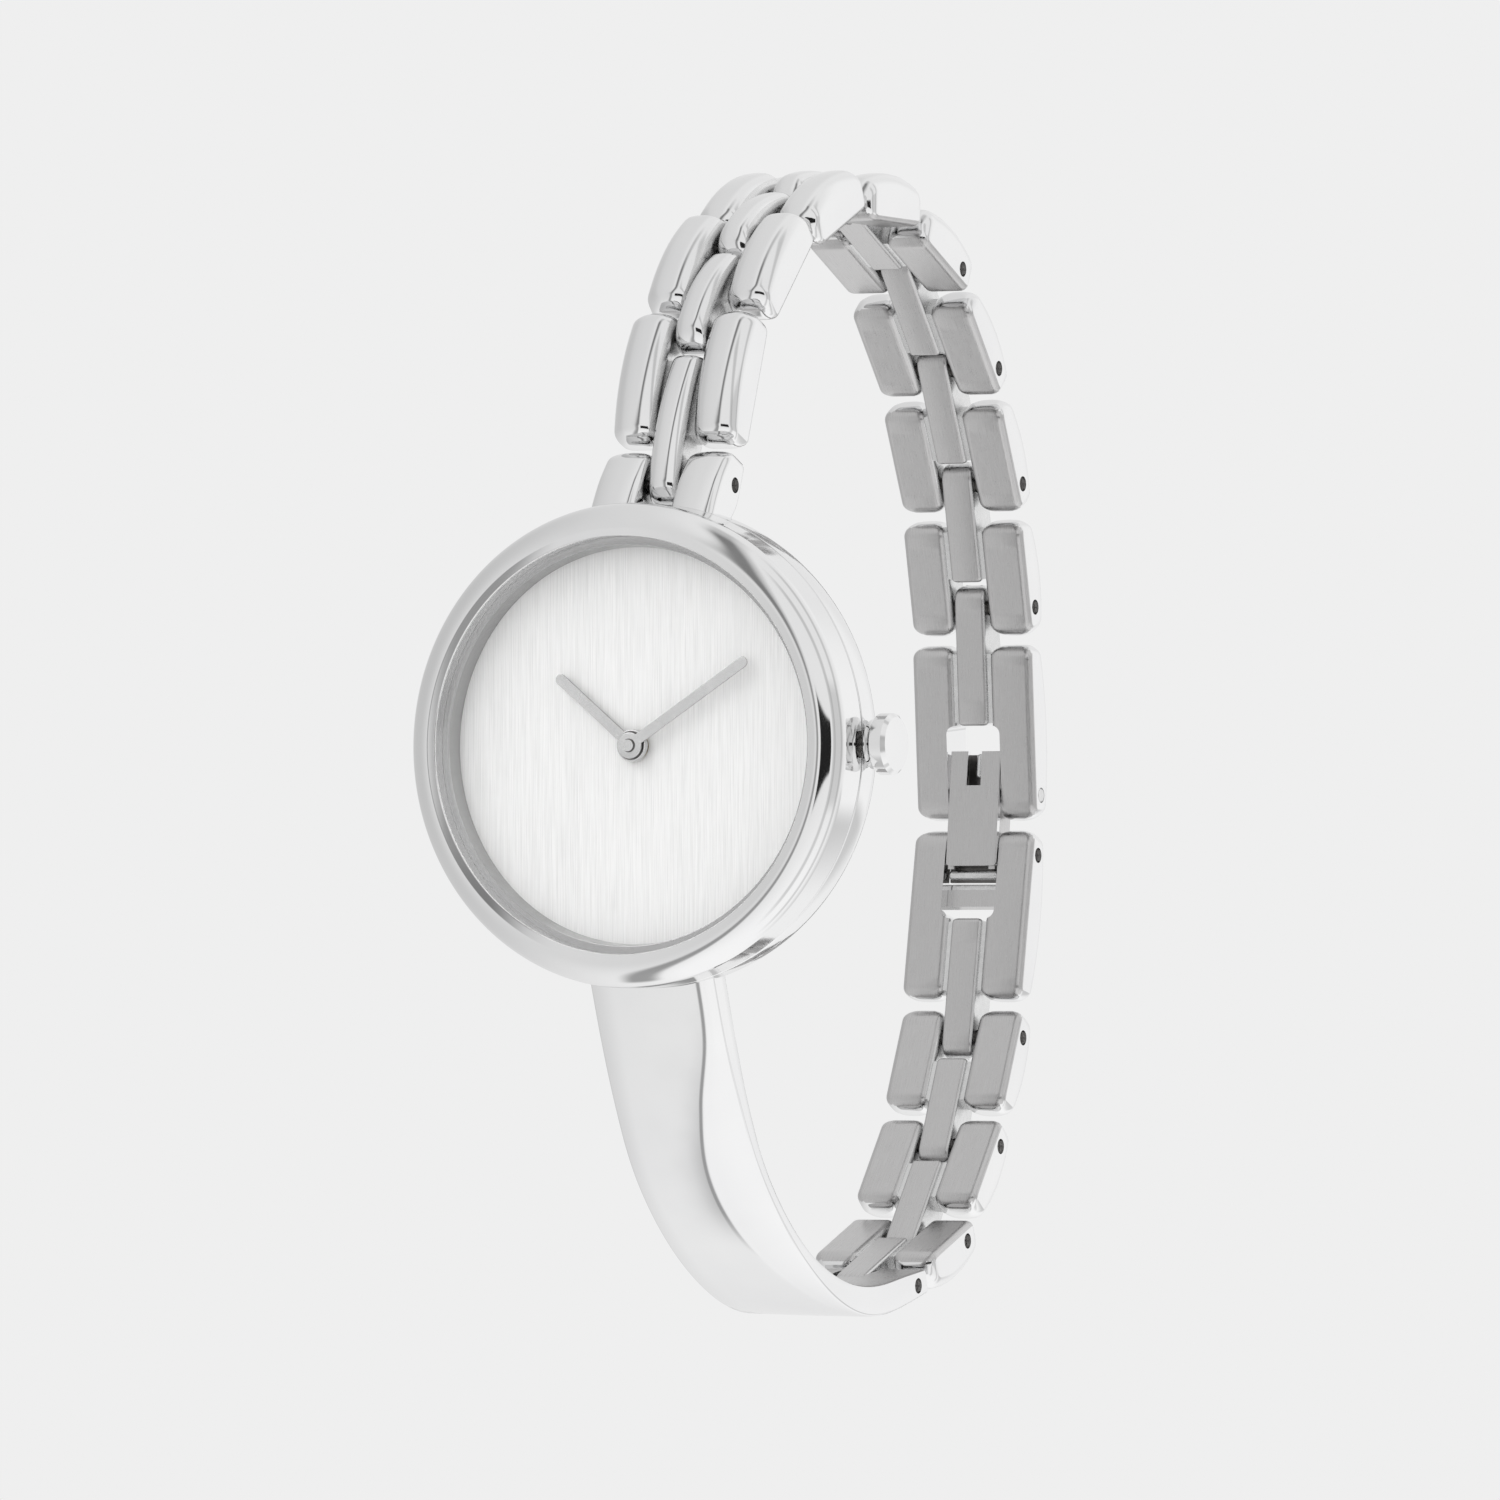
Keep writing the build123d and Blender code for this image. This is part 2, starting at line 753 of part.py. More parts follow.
outer_tip = (bangle_end_at[0] + bangle_tip_back, bangle_end_at[1] - bangle_tip_below)
middle_tip = (bangle_end_at[0] + bangle_tip_bulge, bangle_end_at[1] + bangle_tip_bulge_above)
inner_tip = (bangle_end_at[0] + bangle_tip_inside, bangle_end_at[1] + bangle_tip_above)
outer_line = face_line(root_front, bangle_outer_shares) + [outer_tip]
inner_line = face_line(root_rear, bangle_inner_shares) + [inner_tip]
with BuildPart() as bangle:
    with BuildSketch(Plane(origin=(-half_band, 0, 0), x_dir=(0, 1, 0), z_dir=(1, 0, 0))):
        with BuildLine():
            outer_edge = Spline(*outer_line)
            ThreePointArc(outer_tip, middle_tip, inner_tip)
            Spline(*inner_line)
            Line(inner_line[0], outer_line[0])
        make_face()
    extrude(amount=band_width)
    chamfer(bangle.edges().sort_by(SortBy.LENGTH)[-4:], length=bangle_edge)
    # The facet: sections across the strip, each a wedge that starts at the corner line
    for count, line_share in enumerate(facet_shares):
        line = line_share * half_band
        share = count / (len(facet_shares) - 1)
        at = outer_edge.position_at(share)
        run = outer_edge.tangent_at(share)
        station = Plane(origin=(0, at.Y, at.Z), x_dir=(1, 0, 0), z_dir=(0, run.Y, run.Z))
        left = line - side_gap
        right = half_band + side_gap
        with BuildSketch(station):
            with BuildLine():
                Polyline(
                    (left, facet_slope_share * side_gap),
                    (right, -facet_slope_share * (right - line)),
                    (right, bangle_cut),
                    (left, bangle_cut),
                    close=True,
                )
            make_face()
    loft(mode=Mode.SUBTRACT)
    # The root follows the case's wall
    with BuildSketch(case_section):
        with BuildLine():
            Polyline(
                (0, 0),
                (bezel_radius + face_gap, 0),
                (bezel_radius + face_gap, band_rear),
            )
            ThreePointArc(
                (bezel_radius + face_gap, band_rear),
                (case_curve_radius + face_gap, case_curve_depth),
                (case_rear_radius + face_gap, case_rear),
            )
            Polyline((case_rear_radius + face_gap, case_rear), (0, case_rear), (0, 0))
        make_face()
    revolve(axis=case_axis, mode=Mode.SUBTRACT)
    # Tenon into the case
    with BuildSketch(facing(tenon_rear)):
        with Locations((0, (tenon_top + tenon_bottom) / 2)):
            Rectangle(tenon_width, tenon_top - tenon_bottom)
    extrude(amount=tenon_rear - tenon_front)
    # The fork at the end
    fork = along(lower_pins[0], lower_pins[1], -1)
    with BuildSketch(fork.offset(-half_slot)):
        with Locations((overrun / 2 - slot_end, 0)):
            Rectangle(overrun, overrun)
    extrude(amount=2 * half_slot, mode=Mode.SUBTRACT)
    with BuildSketch(fork.offset(-half_band)):
        Circle(pin_radius + pin_fit)
    extrude(amount=band_width, mode=Mode.SUBTRACT)
save(bangle, "bangle")


def link(name, near, far, side, start, end, window=None, bar=False):
    """An H-shaped link from its tongue's pin to its fork's pin, or a clasp link with a window at its end."""
    reach = math.dist(near, far)
    section = along(near, far, side)
    centre_end = window if window else reach - slot_end
    with BuildPart() as piece:
        # One outer link: flat inside, domed outside, square at its start and rounded at its pin
        first, last = start + link_bulge, reach + end - link_bulge
        heel = start + link_heel
        with BuildSketch(section.offset(half_slot)) as outer_side:
            with BuildLine():
                Line((first, -link_inner), (last, -link_inner))
                ThreePointArc(
                    (last, -link_inner), (last + link_bulge, link_end_middle), (last, link_end_outer)
                )
                ThreePointArc(
                    (last, link_end_outer), ((heel + last) / 2, link_outer), (heel, link_end_outer)
                )
                Line((heel, link_end_outer), (first, -link_inner))
            make_face()
            fillet(outer_side.vertices().sort_by(Axis.Y)[-2:], radius=link_corner)
        extrude(amount=outer_width)
        chamfer(piece.faces().filter_by(Axis.X).edges(), length=link_edge)
        mirror(about=Plane.YZ)
        # The centre link: a round tongue at its start and a square end
        tip = tongue_bulge - tongue_tip
        with BuildSketch(section) as centre_side:
            with BuildLine():
                Polyline((tip, -link_inner), (centre_end, -link_inner), (centre_end, link_end_outer))
                ThreePointArc(
                    (centre_end, link_end_outer), ((centre_end + tip) / 2, link_outer), (tip, link_end_outer)
                )
                ThreePointArc(
                    (tip, link_end_outer), (-tongue_tip, link_end_middle), (tip, -link_inner)
                )
            make_face()
            fillet(centre_side.vertices().sort_by(Axis.Y)[-2:], radius=tongue_corner)
        extrude(amount=half_centre, both=True)
        with BuildSketch(section):
            with BuildLine():
                Polyline(
                    (start + web_inset, -web_inner),
                    (centre_end, -web_inner),
                    (centre_end, web_outer),
                    (start + web_inset, web_outer),
                    close=True,
                )
            make_face()
        extrude(amount=half_slot + link_edge, both=True)
        if window:
            top = Plane(origin=section.origin, x_dir=section.x_dir, z_dir=section.y_dir)
            with BuildSketch(top.offset(-overrun)) as cut:
                with Locations((window + overrun, 0)):
                    Rectangle(2 * overrun, window_width)
                fillet(cut.vertices().sort_by(Axis.X)[:2], radius=window_corner)
            extrude(amount=2 * overrun, mode=Mode.SUBTRACT)
        if bar:
            with BuildSketch(section):
                with Locations((window + cross_bar_start + cross_bar_length / 2, 0)):
                    with Locations((0, (cross_bar_inner + cross_bar_outer) / 2)):
                        Rectangle(cross_bar_length, cross_bar_outer - cross_bar_inner)
            extrude(amount=window_width / 2 + link_edge, both=True)
        with BuildSketch(section.offset(-half_band)):
            with Locations((reach, 0)):
                Circle(pin_radius + pin_fit)
        extrude(amount=band_width, mode=Mode.SUBTRACT)
        with BuildSketch(section.offset(-half_band)):
            Circle(pin_radius + running_fit)
        extrude(amount=band_width, mode=Mode.SUBTRACT)
    save(piece, name)


def pin(name, at, recess):
    """A pin across the band."""
    with BuildPart() as piece:
        with BuildSketch(Plane(origin=(recess - half_band, at[0], at[1]), z_dir=(1, 0, 0))):
            Circle(pin_radius)
        extrude(amount=band_width - 2 * recess)
        chamfer(piece.faces().filter_by(Axis.X).edges(), length=pin_edge)
    save(piece, name)


# Upper half of the bracelet, from the lugs over the top to the clasp
pin("lug_pin", upper_pins[0], pin_recess)
for count in range(len(upper_angles)):
    start = link_start if count else first_start
    link(f"link_{count + 1}", upper_pins[count], upper_pins[count + 1], 1, start, link_end)
    pin(f"link_pin_{count + 1}", upper_pins[count + 1], pin_recess)
link("upper_clasp_link", upper_pins[-1], catch_pin_at, 1, link_start, clasp_end, upper_window_start)
pin("catch_pin", catch_pin_at, 0)

# Lower half, from the bangle's end up to the clasp
pin("bangle_pin", lower_pins[0], pin_recess)
for count in range(len(lower_angles)):
    link(f"lower_link_{count + 1}", lower_pins[count], lower_pins[count + 1], -1, link_start, link_end)
    pin(f"lower_pin_{count + 1}", lower_pins[count + 1], pin_recess)
link("lower_clasp_link", lower_pins[-1], clip_pin_at, -1, link_start, clasp_end, lower_window_start, True)
pin("clip_pin", clip_pin_at, pin_recess)

# Clip: a plate on the wrist's side between two walls that rest on the catch pin
clip_section = along(clip_pin_at, catch_pin_at, -1)
seat_start = clasp_gap - pin_radius - clip_seat_gap
with BuildPart() as clip:
    with BuildSketch(clip_section):
        with BuildLine():
            Polyline(
                (-clip_tail, -link_inner),
                (clip_reach, -link_inner),
                (clip_reach, clip_plate - link_inner),
                (-clip_tail, clip_plate - link_inner),
                close=True,
            )
        make_face()
    extrude(amount=clip_width / 2, both=True)
    for near in (clip_width / 2 - clip_wall, -clip_width / 2):
        with BuildSketch(clip_section.offset(near)):
            with BuildLine():
                Polyline(
                    (-clip_wall_tail, -link_inner),
                    (seat_start, -link_inner),
                    (seat_start, -clip_seat_foot),
                    (seat_start - clip_seat_lean, clip_outer - clip_corner),
                    (seat_start - clip_seat_lean - clip_corner, clip_outer),
                    (clip_corner - clip_wall_tail, clip_outer),
                    (-clip_wall_tail, clip_outer - clip_corner),
                    close=True,
                )
            make_face()
        extrude(amount=clip_wall)
    clip_top = Plane(origin=clip_section.origin, x_dir=clip_section.x_dir, z_dir=clip_section.y_dir)
    with BuildSketch(clip_top.offset(-overrun)):
        with Locations((clip_reach, 0)):
            SlotOverall(2 * clip_slot_length, clip_slot_width)
    extrude(amount=2 * overrun, mode=Mode.SUBTRACT)
    with BuildSketch(clip_section):
        with Locations((clip_reach - clip_bar_inset, clip_plate - link_inner)):
            Circle(clip_bar_radius)
            with Locations((0, -clip_plate)):
                Rectangle(2 * clip_plate, 2 * clip_plate, align=(Align.CENTER, Align.MAX), mode=Mode.SUBTRACT)
    extrude(amount=clip_bar_width / 2, both=True)
    with BuildSketch(clip_section.offset(-half_band)):
        Circle(pin_radius + running_fit)
    extrude(amount=band_width, mode=Mode.SUBTRACT)
save(clip, "clip")
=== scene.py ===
# %% [markdown]
# # A bangle watch in polished steel
# The model is a lady's watch on a rigid bangle half and a bracelet of H-shaped links. The CAD model gives every
# size and hinge. This lesson dresses it: smooth turned rings for the case, links cut from side outlines, one long
# curved bangle, and the finishes of polished, brushed and silvered metal.

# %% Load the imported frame
import json
import math

import bmesh
import bpy
from mathutils import Matrix, Vector
from mathutils.geometry import interpolate_bezier


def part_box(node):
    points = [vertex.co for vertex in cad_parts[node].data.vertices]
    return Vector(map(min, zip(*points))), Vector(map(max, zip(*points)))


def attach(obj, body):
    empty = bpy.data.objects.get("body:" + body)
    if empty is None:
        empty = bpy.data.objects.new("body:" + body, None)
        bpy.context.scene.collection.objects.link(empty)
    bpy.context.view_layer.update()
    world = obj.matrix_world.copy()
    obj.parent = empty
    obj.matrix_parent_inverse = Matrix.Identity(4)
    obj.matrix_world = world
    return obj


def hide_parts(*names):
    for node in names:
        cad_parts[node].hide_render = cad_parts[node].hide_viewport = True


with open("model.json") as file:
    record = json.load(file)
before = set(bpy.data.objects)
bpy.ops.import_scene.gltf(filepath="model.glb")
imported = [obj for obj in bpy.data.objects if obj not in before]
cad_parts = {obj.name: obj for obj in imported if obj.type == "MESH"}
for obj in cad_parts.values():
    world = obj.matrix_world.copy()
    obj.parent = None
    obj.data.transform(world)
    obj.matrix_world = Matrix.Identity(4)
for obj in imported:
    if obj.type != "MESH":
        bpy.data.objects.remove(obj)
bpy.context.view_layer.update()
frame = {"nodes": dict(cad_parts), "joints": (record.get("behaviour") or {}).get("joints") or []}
MM = 0.001

# %% [markdown]
# ## Where things are
# The joints of the record hold the centre of every hinge pin, so the links are built between those points and
# not from numbers typed twice. The dial's face is the plane that the case's depths are counted from.

# %% Read the hinge centres
hinges = {joint["name"]: Vector(joint.get("pos_m", (0, 0, 0))) for joint in frame["joints"]}
low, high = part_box("catch_pin")
catch_centre = Vector((0, (low.y + high.y) / 2, (low.z + high.z) / 2))
dial_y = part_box("dial")[0].y
# half the band's width, and the radius of the holes for its pins, in millimetres
half_band = 4.05
pin_hole = 0.465
print("dial face at y", round(dial_y, 5), "catch pin at", [round(v, 5) for v in catch_centre])

# %% [markdown]
# ## Finishes
# Steel looks like steel because of what it mirrors and of how its surface is worked. A polished face gets a low
# roughness that drifts a little. A brushed face gets long, fine grooves, made from noise that is stretched along
# the strokes. The grooves follow either the object's own axes or a UV map that runs along each link.

# %% Helpers for node materials
def new_material(name):
    """An empty node material with one Principled shader."""
    material = bpy.data.materials.new(name)
    material.use_nodes = True
    tree = material.node_tree
    tree.nodes.clear()
    output = tree.nodes.new("ShaderNodeOutputMaterial")
    shader = tree.nodes.new("ShaderNodeBsdfPrincipled")
    tree.links.new(shader.outputs["BSDF"], output.inputs["Surface"])
    return material, tree, shader


def pattern(tree, scale, stretch=(1, 1, 1), detail=3.0, space="Object", roughness=0.5):
    """A noise pattern on the piece's own coordinates; stretch says how fast it changes along each axis."""
    coordinates = tree.nodes.new("ShaderNodeTexCoord")
    mapping = tree.nodes.new("ShaderNodeMapping")
    mapping.inputs["Scale"].default_value = stretch
    noise = tree.nodes.new("ShaderNodeTexNoise")
    noise.inputs["Scale"].default_value = scale
    noise.inputs["Detail"].default_value = detail
    noise.inputs["Roughness"].default_value = roughness
    tree.links.new(coordinates.outputs[space], mapping.inputs["Vector"])
    tree.links.new(mapping.outputs["Vector"], noise.inputs["Vector"])
    return noise.outputs["Fac"]


def spread(tree, value, low_value, high_value):
    """Maps the middle of a pattern, where nearly all of it lies, to the numbers from low_value to high_value."""
    ranged = tree.nodes.new("ShaderNodeMapRange")
    ranged.inputs["From Min"].default_value = 0.3
    ranged.inputs["From Max"].default_value = 0.7
    ranged.inputs["To Min"].default_value = low_value
    ranged.inputs["To Max"].default_value = high_value
    tree.links.new(value, ranged.inputs["Value"])
    return ranged.outputs["Result"]


def shades(tree, value, dark, light, start=0.3, end=0.7):
    """Maps a pattern to colours from dark to light."""
    ramp = tree.nodes.new("ShaderNodeValToRGB")
    ramp.color_ramp.elements[0].position = start
    ramp.color_ramp.elements[0].color = (*dark, 1)
    ramp.color_ramp.elements[1].position = end
    ramp.color_ramp.elements[1].color = (*light, 1)
    tree.links.new(value, ramp.inputs["Fac"])
    return ramp.outputs["Color"]


def bump(tree, shader, value, distance):
    """Raises the surface by the pattern, by a distance in metres."""
    bumped = tree.nodes.new("ShaderNodeBump")
    bumped.inputs["Distance"].default_value = distance
    bumped.inputs["Strength"].default_value = 1.0
    tree.links.new(value, bumped.inputs["Height"])
    tree.links.new(bumped.outputs["Normal"], shader.inputs["Normal"])


def plain_finish(name, dark, light, metallic, rough, scale=1500, grain=2e-6, stretch=(1, 1, 1)):
    """A finish with an even grain: its colour and gloss drift a little, and its surface has a fine relief."""
    material, tree, shader = new_material(name)
    shader.inputs["Metallic"].default_value = metallic
    cloud = pattern(tree, scale * 0.2, stretch)
    fine = pattern(tree, scale, stretch, detail=5.0)
    tree.links.new(shades(tree, cloud, dark, light), shader.inputs["Base Color"])
    tree.links.new(spread(tree, fine, rough[0], rough[1]), shader.inputs["Roughness"])
    bump(tree, shader, fine, grain)
    return material


# %% Polished and brushed steel
polished = plain_finish("polished_steel", (0.76, 0.76, 0.765), (0.8, 0.8, 0.8), 1.0, (0.045, 0.1), 500, 2e-7)
satin = plain_finish("satin_steel", (0.66, 0.66, 0.66), (0.72, 0.72, 0.72), 1.0, (0.22, 0.34), 3000, 8e-7)

stroked, tree, shader = new_material("stroked_steel")
shader.inputs["Metallic"].default_value = 1.0
strokes = pattern(tree, 22.0, (1.0, 0.03, 1.0), 6.0, "UV", 0.7)
tree.links.new(shades(tree, strokes, (0.5, 0.495, 0.495), (0.62, 0.615, 0.615)), shader.inputs["Base Color"])
tree.links.new(spread(tree, strokes, 0.24, 0.36), shader.inputs["Roughness"])
bump(tree, shader, strokes, 2.5e-6)

# a steel much darker than real steel, for painted shade: on the pins in their holes, round the crown's tube, along
# the hands' edges, and on the dark rings and beds
pin_steel = plain_finish("pin_steel", (0.12, 0.115, 0.11), (0.2, 0.195, 0.19), 1.0, (0.3, 0.45), 6000, 1e-6)
ring_steel = plain_finish("ring_steel", (0.44, 0.44, 0.44), (0.49, 0.49, 0.49), 1.0, (0.12, 0.16), 400, 1e-8)

# %% Dial silver, hand steel and the crystal
silver, tree, shader = new_material("dial_silver")
shader.inputs["Metallic"].default_value = 0.2
fine = pattern(tree, 2400.0, (9.0, 1.0, 0.11), 3.0, "Object", 0.6)
broad = pattern(tree, 900.0, (7.0, 1.0, 0.2), 3.0)
brushing = shades(tree, fine, (0.84, 0.84, 0.835), (1.0, 1.0, 0.995), 0.3, 0.62)
tree.links.new(brushing, shader.inputs["Base Color"])
tree.links.new(spread(tree, broad, 0.42, 0.47), shader.inputs["Roughness"])
bump(tree, shader, fine, 6e-7)

hand_steel = plain_finish("hand_steel", (0.64, 0.64, 0.64), (0.7, 0.7, 0.7), 1.0, (0.16, 0.28), 2500, 4e-7)

crystal, tree, shader = new_material("crystal")
shader.inputs["Transmission Weight"].default_value = 1.0
shader.inputs["IOR"].default_value = 1.12
shader.inputs["Base Color"].default_value = (1, 1, 1, 1)
smear = pattern(tree, 120.0)
tree.links.new(spread(tree, smear, 0.0, 0.012), shader.inputs["Roughness"])
# light passes straight through to the dial, so the crystal casts no shadow
clear = tree.nodes.new("ShaderNodeBsdfTransparent")
path = tree.nodes.new("ShaderNodeLightPath")
mix = tree.nodes.new("ShaderNodeMixShader")
output = next(node for node in tree.nodes if node.type == "OUTPUT_MATERIAL")
tree.links.new(path.outputs["Is Shadow Ray"], mix.inputs["Fac"])
tree.links.new(shader.outputs["BSDF"], mix.inputs[1])
tree.links.new(clear.outputs["BSDF"], mix.inputs[2])
tree.links.new(mix.outputs["Shader"], output.inputs["Surface"])

# %% Finishes of the hidden pieces
rubber = plain_finish("gasket_rubber", (0.02, 0.02, 0.02), (0.05, 0.05, 0.05), 0.0, (0.55, 0.75), 4000, 2e-6)
holder = plain_finish("holder_plastic", (0.7, 0.7, 0.68), (0.78, 0.78, 0.76), 0.0, (0.4, 0.55), 3000, 1e-6)
back_steel, tree, shader = new_material("back_steel")
shader.inputs["Metallic"].default_value = 1.0
coordinates = tree.nodes.new("ShaderNodeTexCoord")
flat = tree.nodes.new("ShaderNodeVectorMath")
flat.operation = "MULTIPLY"
flat.inputs[1].default_value = (1, 0, 1)
radius = tree.nodes.new("ShaderNodeVectorMath")
radius.operation = "LENGTH"
turning = tree.nodes.new("ShaderNodeTexNoise")
turning.noise_dimensions = "1D"
turning.inputs["Scale"].default_value = 9000.0
turning.inputs["Detail"].default_value = 4.0
tree.links.new(coordinates.outputs["Object"], flat.inputs[0])
tree.links.new(flat.outputs["Vector"], radius.inputs[0])
tree.links.new(radius.outputs["Value"], turning.inputs["W"])
rings = turning.outputs["Fac"]
tree.links.new(shades(tree, rings, (0.5, 0.5, 0.5), (0.62, 0.62, 0.62)), shader.inputs["Base Color"])
tree.links.new(spread(tree, rings, 0.24, 0.34), shader.inputs["Roughness"])
bump(tree, shader, rings, 8e-7)
brass = plain_finish("movement_brass", (0.62, 0.5, 0.26), (0.74, 0.62, 0.36), 1.0, (0.24, 0.36), 2500, 1e-6)
board = plain_finish("board_green", (0.03, 0.16, 0.07), (0.06, 0.26, 0.12), 0.0, (0.25, 0.4), 1800, 1e-6)
copper = plain_finish(
    "coil_copper", (0.5, 0.2, 0.08), (0.72, 0.34, 0.16), 1.0, (0.3, 0.45), 900, 1.5e-5, stretch=(60, 1, 1)
)
print("finishes", [material.name for material in bpy.data.materials if material.use_nodes])

# %% [markdown]
# ## Making pieces
# Each new piece starts as a few vertices in a bmesh, in millimetres. An arc is a vertex that is spun about its
# centre, a block is an outline that is extruded, and a ring is a profile that is spun right round. The last helper
# turns any of them into an object: it points the faces outwards, marks the sharp edges, and lets the piece ride on
# its body.

# %% Helpers for outlines
def circle_through(a, b, c):
    """The centre of the circle through three flat points, and the signed angle from a to c by way of b."""
    d = 2 * (a[0] * (b[1] - c[1]) + b[0] * (c[1] - a[1]) + c[0] * (a[1] - b[1]))
    squares = [p[0] ** 2 + p[1] ** 2 for p in (a, b, c)]
    centre = (
        (squares[0] * (b[1] - c[1]) + squares[1] * (c[1] - a[1]) + squares[2] * (a[1] - b[1])) / d,
        (squares[0] * (c[0] - b[0]) + squares[1] * (a[0] - c[0]) + squares[2] * (b[0] - a[0])) / d,
    )
    first, second, third = (math.atan2(p[1] - centre[1], p[0] - centre[0]) for p in (a, b, c))
    turn = (third - first) % (2 * math.pi)
    if (second - first) % (2 * math.pi) > turn:
        turn -= 2 * math.pi
    return centre, turn


def draw(bm, start, steps):
    """Draws a closed outline in the plane x = 0. Each step is a point, or a (middle, end, count) arc."""
    first = last = bm.verts.new((0, *start))
    for step in steps:
        if len(step) == 2:
            point = bm.verts.new((0, *step))
            bm.edges.new((last, point))
        else:
            middle, end, count = step
            centre, turn = circle_through((last.co.y, last.co.z), middle, end)
            spun = bmesh.ops.spin(
                bm, geom=[last], cent=(0, *centre), axis=(1, 0, 0), dvec=(0, 0, 0), angle=turn, steps=count,
                use_duplicate=False,
            )
            point = next(item for item in spun["geom_last"] if isinstance(item, bmesh.types.BMVert))
        last = point
    if (last.co - first.co).length > 1e-5:
        bm.edges.new((last, first))
    bmesh.ops.remove_doubles(bm, verts=bm.verts, dist=1e-5)


def round_corner(bm, at, radius, segments=6):
    """Rounds the outline's corner nearest to a point."""
    corner = min(bm.verts, key=lambda v: (v.co.y - at[0]) ** 2 + (v.co.z - at[1]) ** 2)
    bmesh.ops.bevel(
        bm, geom=[corner], offset=radius, offset_type="OFFSET", segments=segments, profile=0.5,
        affect="VERTICES", material=-1, clamp_overlap=True,
    )


def drill(bm, centre, radius):
    """Adds a round hole to the flat outline."""
    made = bmesh.ops.create_circle(bm, cap_ends=False, radius=radius, segments=24)
    place = Matrix.Translation((0, *centre)) @ Matrix.Rotation(math.pi / 2, 4, "Y")
    bmesh.ops.transform(bm, matrix=place, verts=made["verts"])


def thicken(bm, start, end):
    """Fills the outline and extrudes it along X, from start to end."""
    bmesh.ops.triangle_fill(bm, use_beauty=True, use_dissolve=True, edges=bm.edges[:])
    bmesh.ops.translate(bm, vec=(start, 0, 0), verts=bm.verts)
    grown = bmesh.ops.extrude_face_region(bm, geom=bm.faces[:])
    moved = [item for item in grown["geom"] if isinstance(item, bmesh.types.BMVert)]
    bmesh.ops.translate(bm, vec=(end - start, 0, 0), verts=moved)


def soften_rims(bm, width):
    """Bevels the rims of a block's two flat ends."""
    lows = min(v.co.x for v in bm.verts)
    highs = max(v.co.x for v in bm.verts)
    bmesh.ops.recalc_face_normals(bm, faces=bm.faces)
    rims = []
    for edge in bm.edges:
        for end in (lows, highs):
            if all(abs(v.co.x - end) < 1e-5 for v in edge.verts):
                if len(edge.link_faces) == 2 and edge.calc_face_angle(0) > 0.6:
                    rims.append(edge)
    bmesh.ops.bevel(
        bm, geom=rims, offset=width, offset_type="OFFSET", segments=3, profile=0.5, affect="EDGES",
        material=-1, clamp_overlap=True, harden_normals=False,
    )


def sweep(bm, sections):
    """Extrudes a closed cross-section from each list of points to the next, and closes both ends."""
    seat = bm.verts.layers.int.new("seat")
    ring = []
    for count, point in enumerate(sections[0]):
        vertex = bm.verts.new(point)
        vertex[seat] = count
        ring.append(vertex)
    sides = [bm.edges.new((ring[k], ring[k - 1])) for k in range(len(ring))]
    for points in sections[1:]:
        grown = bmesh.ops.extrude_edge_only(bm, edges=sides)["geom"]
        sides = [item for item in grown if isinstance(item, bmesh.types.BMEdge)]
        for item in grown:
            if isinstance(item, bmesh.types.BMVert):
                item.co = points[item[seat]]
    bmesh.ops.holes_fill(bm, edges=[edge for edge in bm.edges if edge.is_boundary], sides=0)
    return seat


def shade_evenly(piece):
    """Lets large faces decide the shading, so that softened rims look crisp."""
    even = piece.modifiers.new("even shading", "WEIGHTED_NORMAL")
    even.keep_sharp = True


def in_millimetres(place):
    """A matrix with its shift in millimetres, for a bmesh that is still in millimetres."""
    scaled = place.copy()
    scaled.translation = place.translation / MM
    return scaled


def finish_piece(bm, name, finishes, body, stands_for=(), place=None, soften=32):
    """Makes the bmesh, which is in millimetres, an object that rides on a body."""
    bmesh.ops.remove_doubles(bm, verts=bm.verts, dist=1e-4)
    bmesh.ops.scale(bm, vec=(MM, MM, MM), verts=bm.verts)
    if place is not None:
        bmesh.ops.transform(bm, matrix=place, verts=bm.verts)
    bmesh.ops.recalc_face_normals(bm, faces=bm.faces)
    for face in bm.faces:
        face.smooth = True
    mesh = bpy.data.meshes.new(name)
    bm.to_mesh(mesh)
    bm.free()
    mesh.set_sharp_from_angle(angle=math.radians(soften))
    for finish in finishes:
        mesh.materials.append(finish)
    piece = bpy.data.objects.new(name, mesh)
    bpy.context.scene.collection.objects.link(piece)
    shade_evenly(piece)
    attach(piece, body)
    if stands_for:
        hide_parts(*stands_for)
    return piece


def cut(piece, bm, name):
    """Cuts a shape, given as a bmesh in millimetres in the row's frame, out of a piece."""
    bmesh.ops.scale(bm, vec=(MM, MM, MM), verts=bm.verts)
    bmesh.ops.recalc_face_normals(bm, faces=bm.faces)
    mesh = bpy.data.meshes.new(name)
    bm.to_mesh(mesh)
    bm.free()
    tool = bpy.data.objects.new(name, mesh)
    bpy.context.scene.collection.objects.link(tool)
    step = piece.modifiers.new(name, "BOOLEAN")
    step.operation = "DIFFERENCE"
    step.solver = "EXACT"
    step.object = tool
    piece.modifiers.remove(piece.modifiers.get("even shading"))
    bpy.context.view_layer.update()
    baked = bpy.data.meshes.new_from_object(piece.evaluated_get(bpy.context.evaluated_depsgraph_get()))
    piece.modifiers.remove(step)
    piece.data = baked
    bpy.data.objects.remove(tool)
    baked.set_sharp_from_angle(angle=math.radians(32))
    shade_evenly(piece)


# %% [markdown]
# ## Case rings
# The bezel and the middle case are turned on a lathe, and so are they here. A profile of a few points and arcs,
# given as radius and depth behind the dial's face, is spun round the axis of the hands in one go.

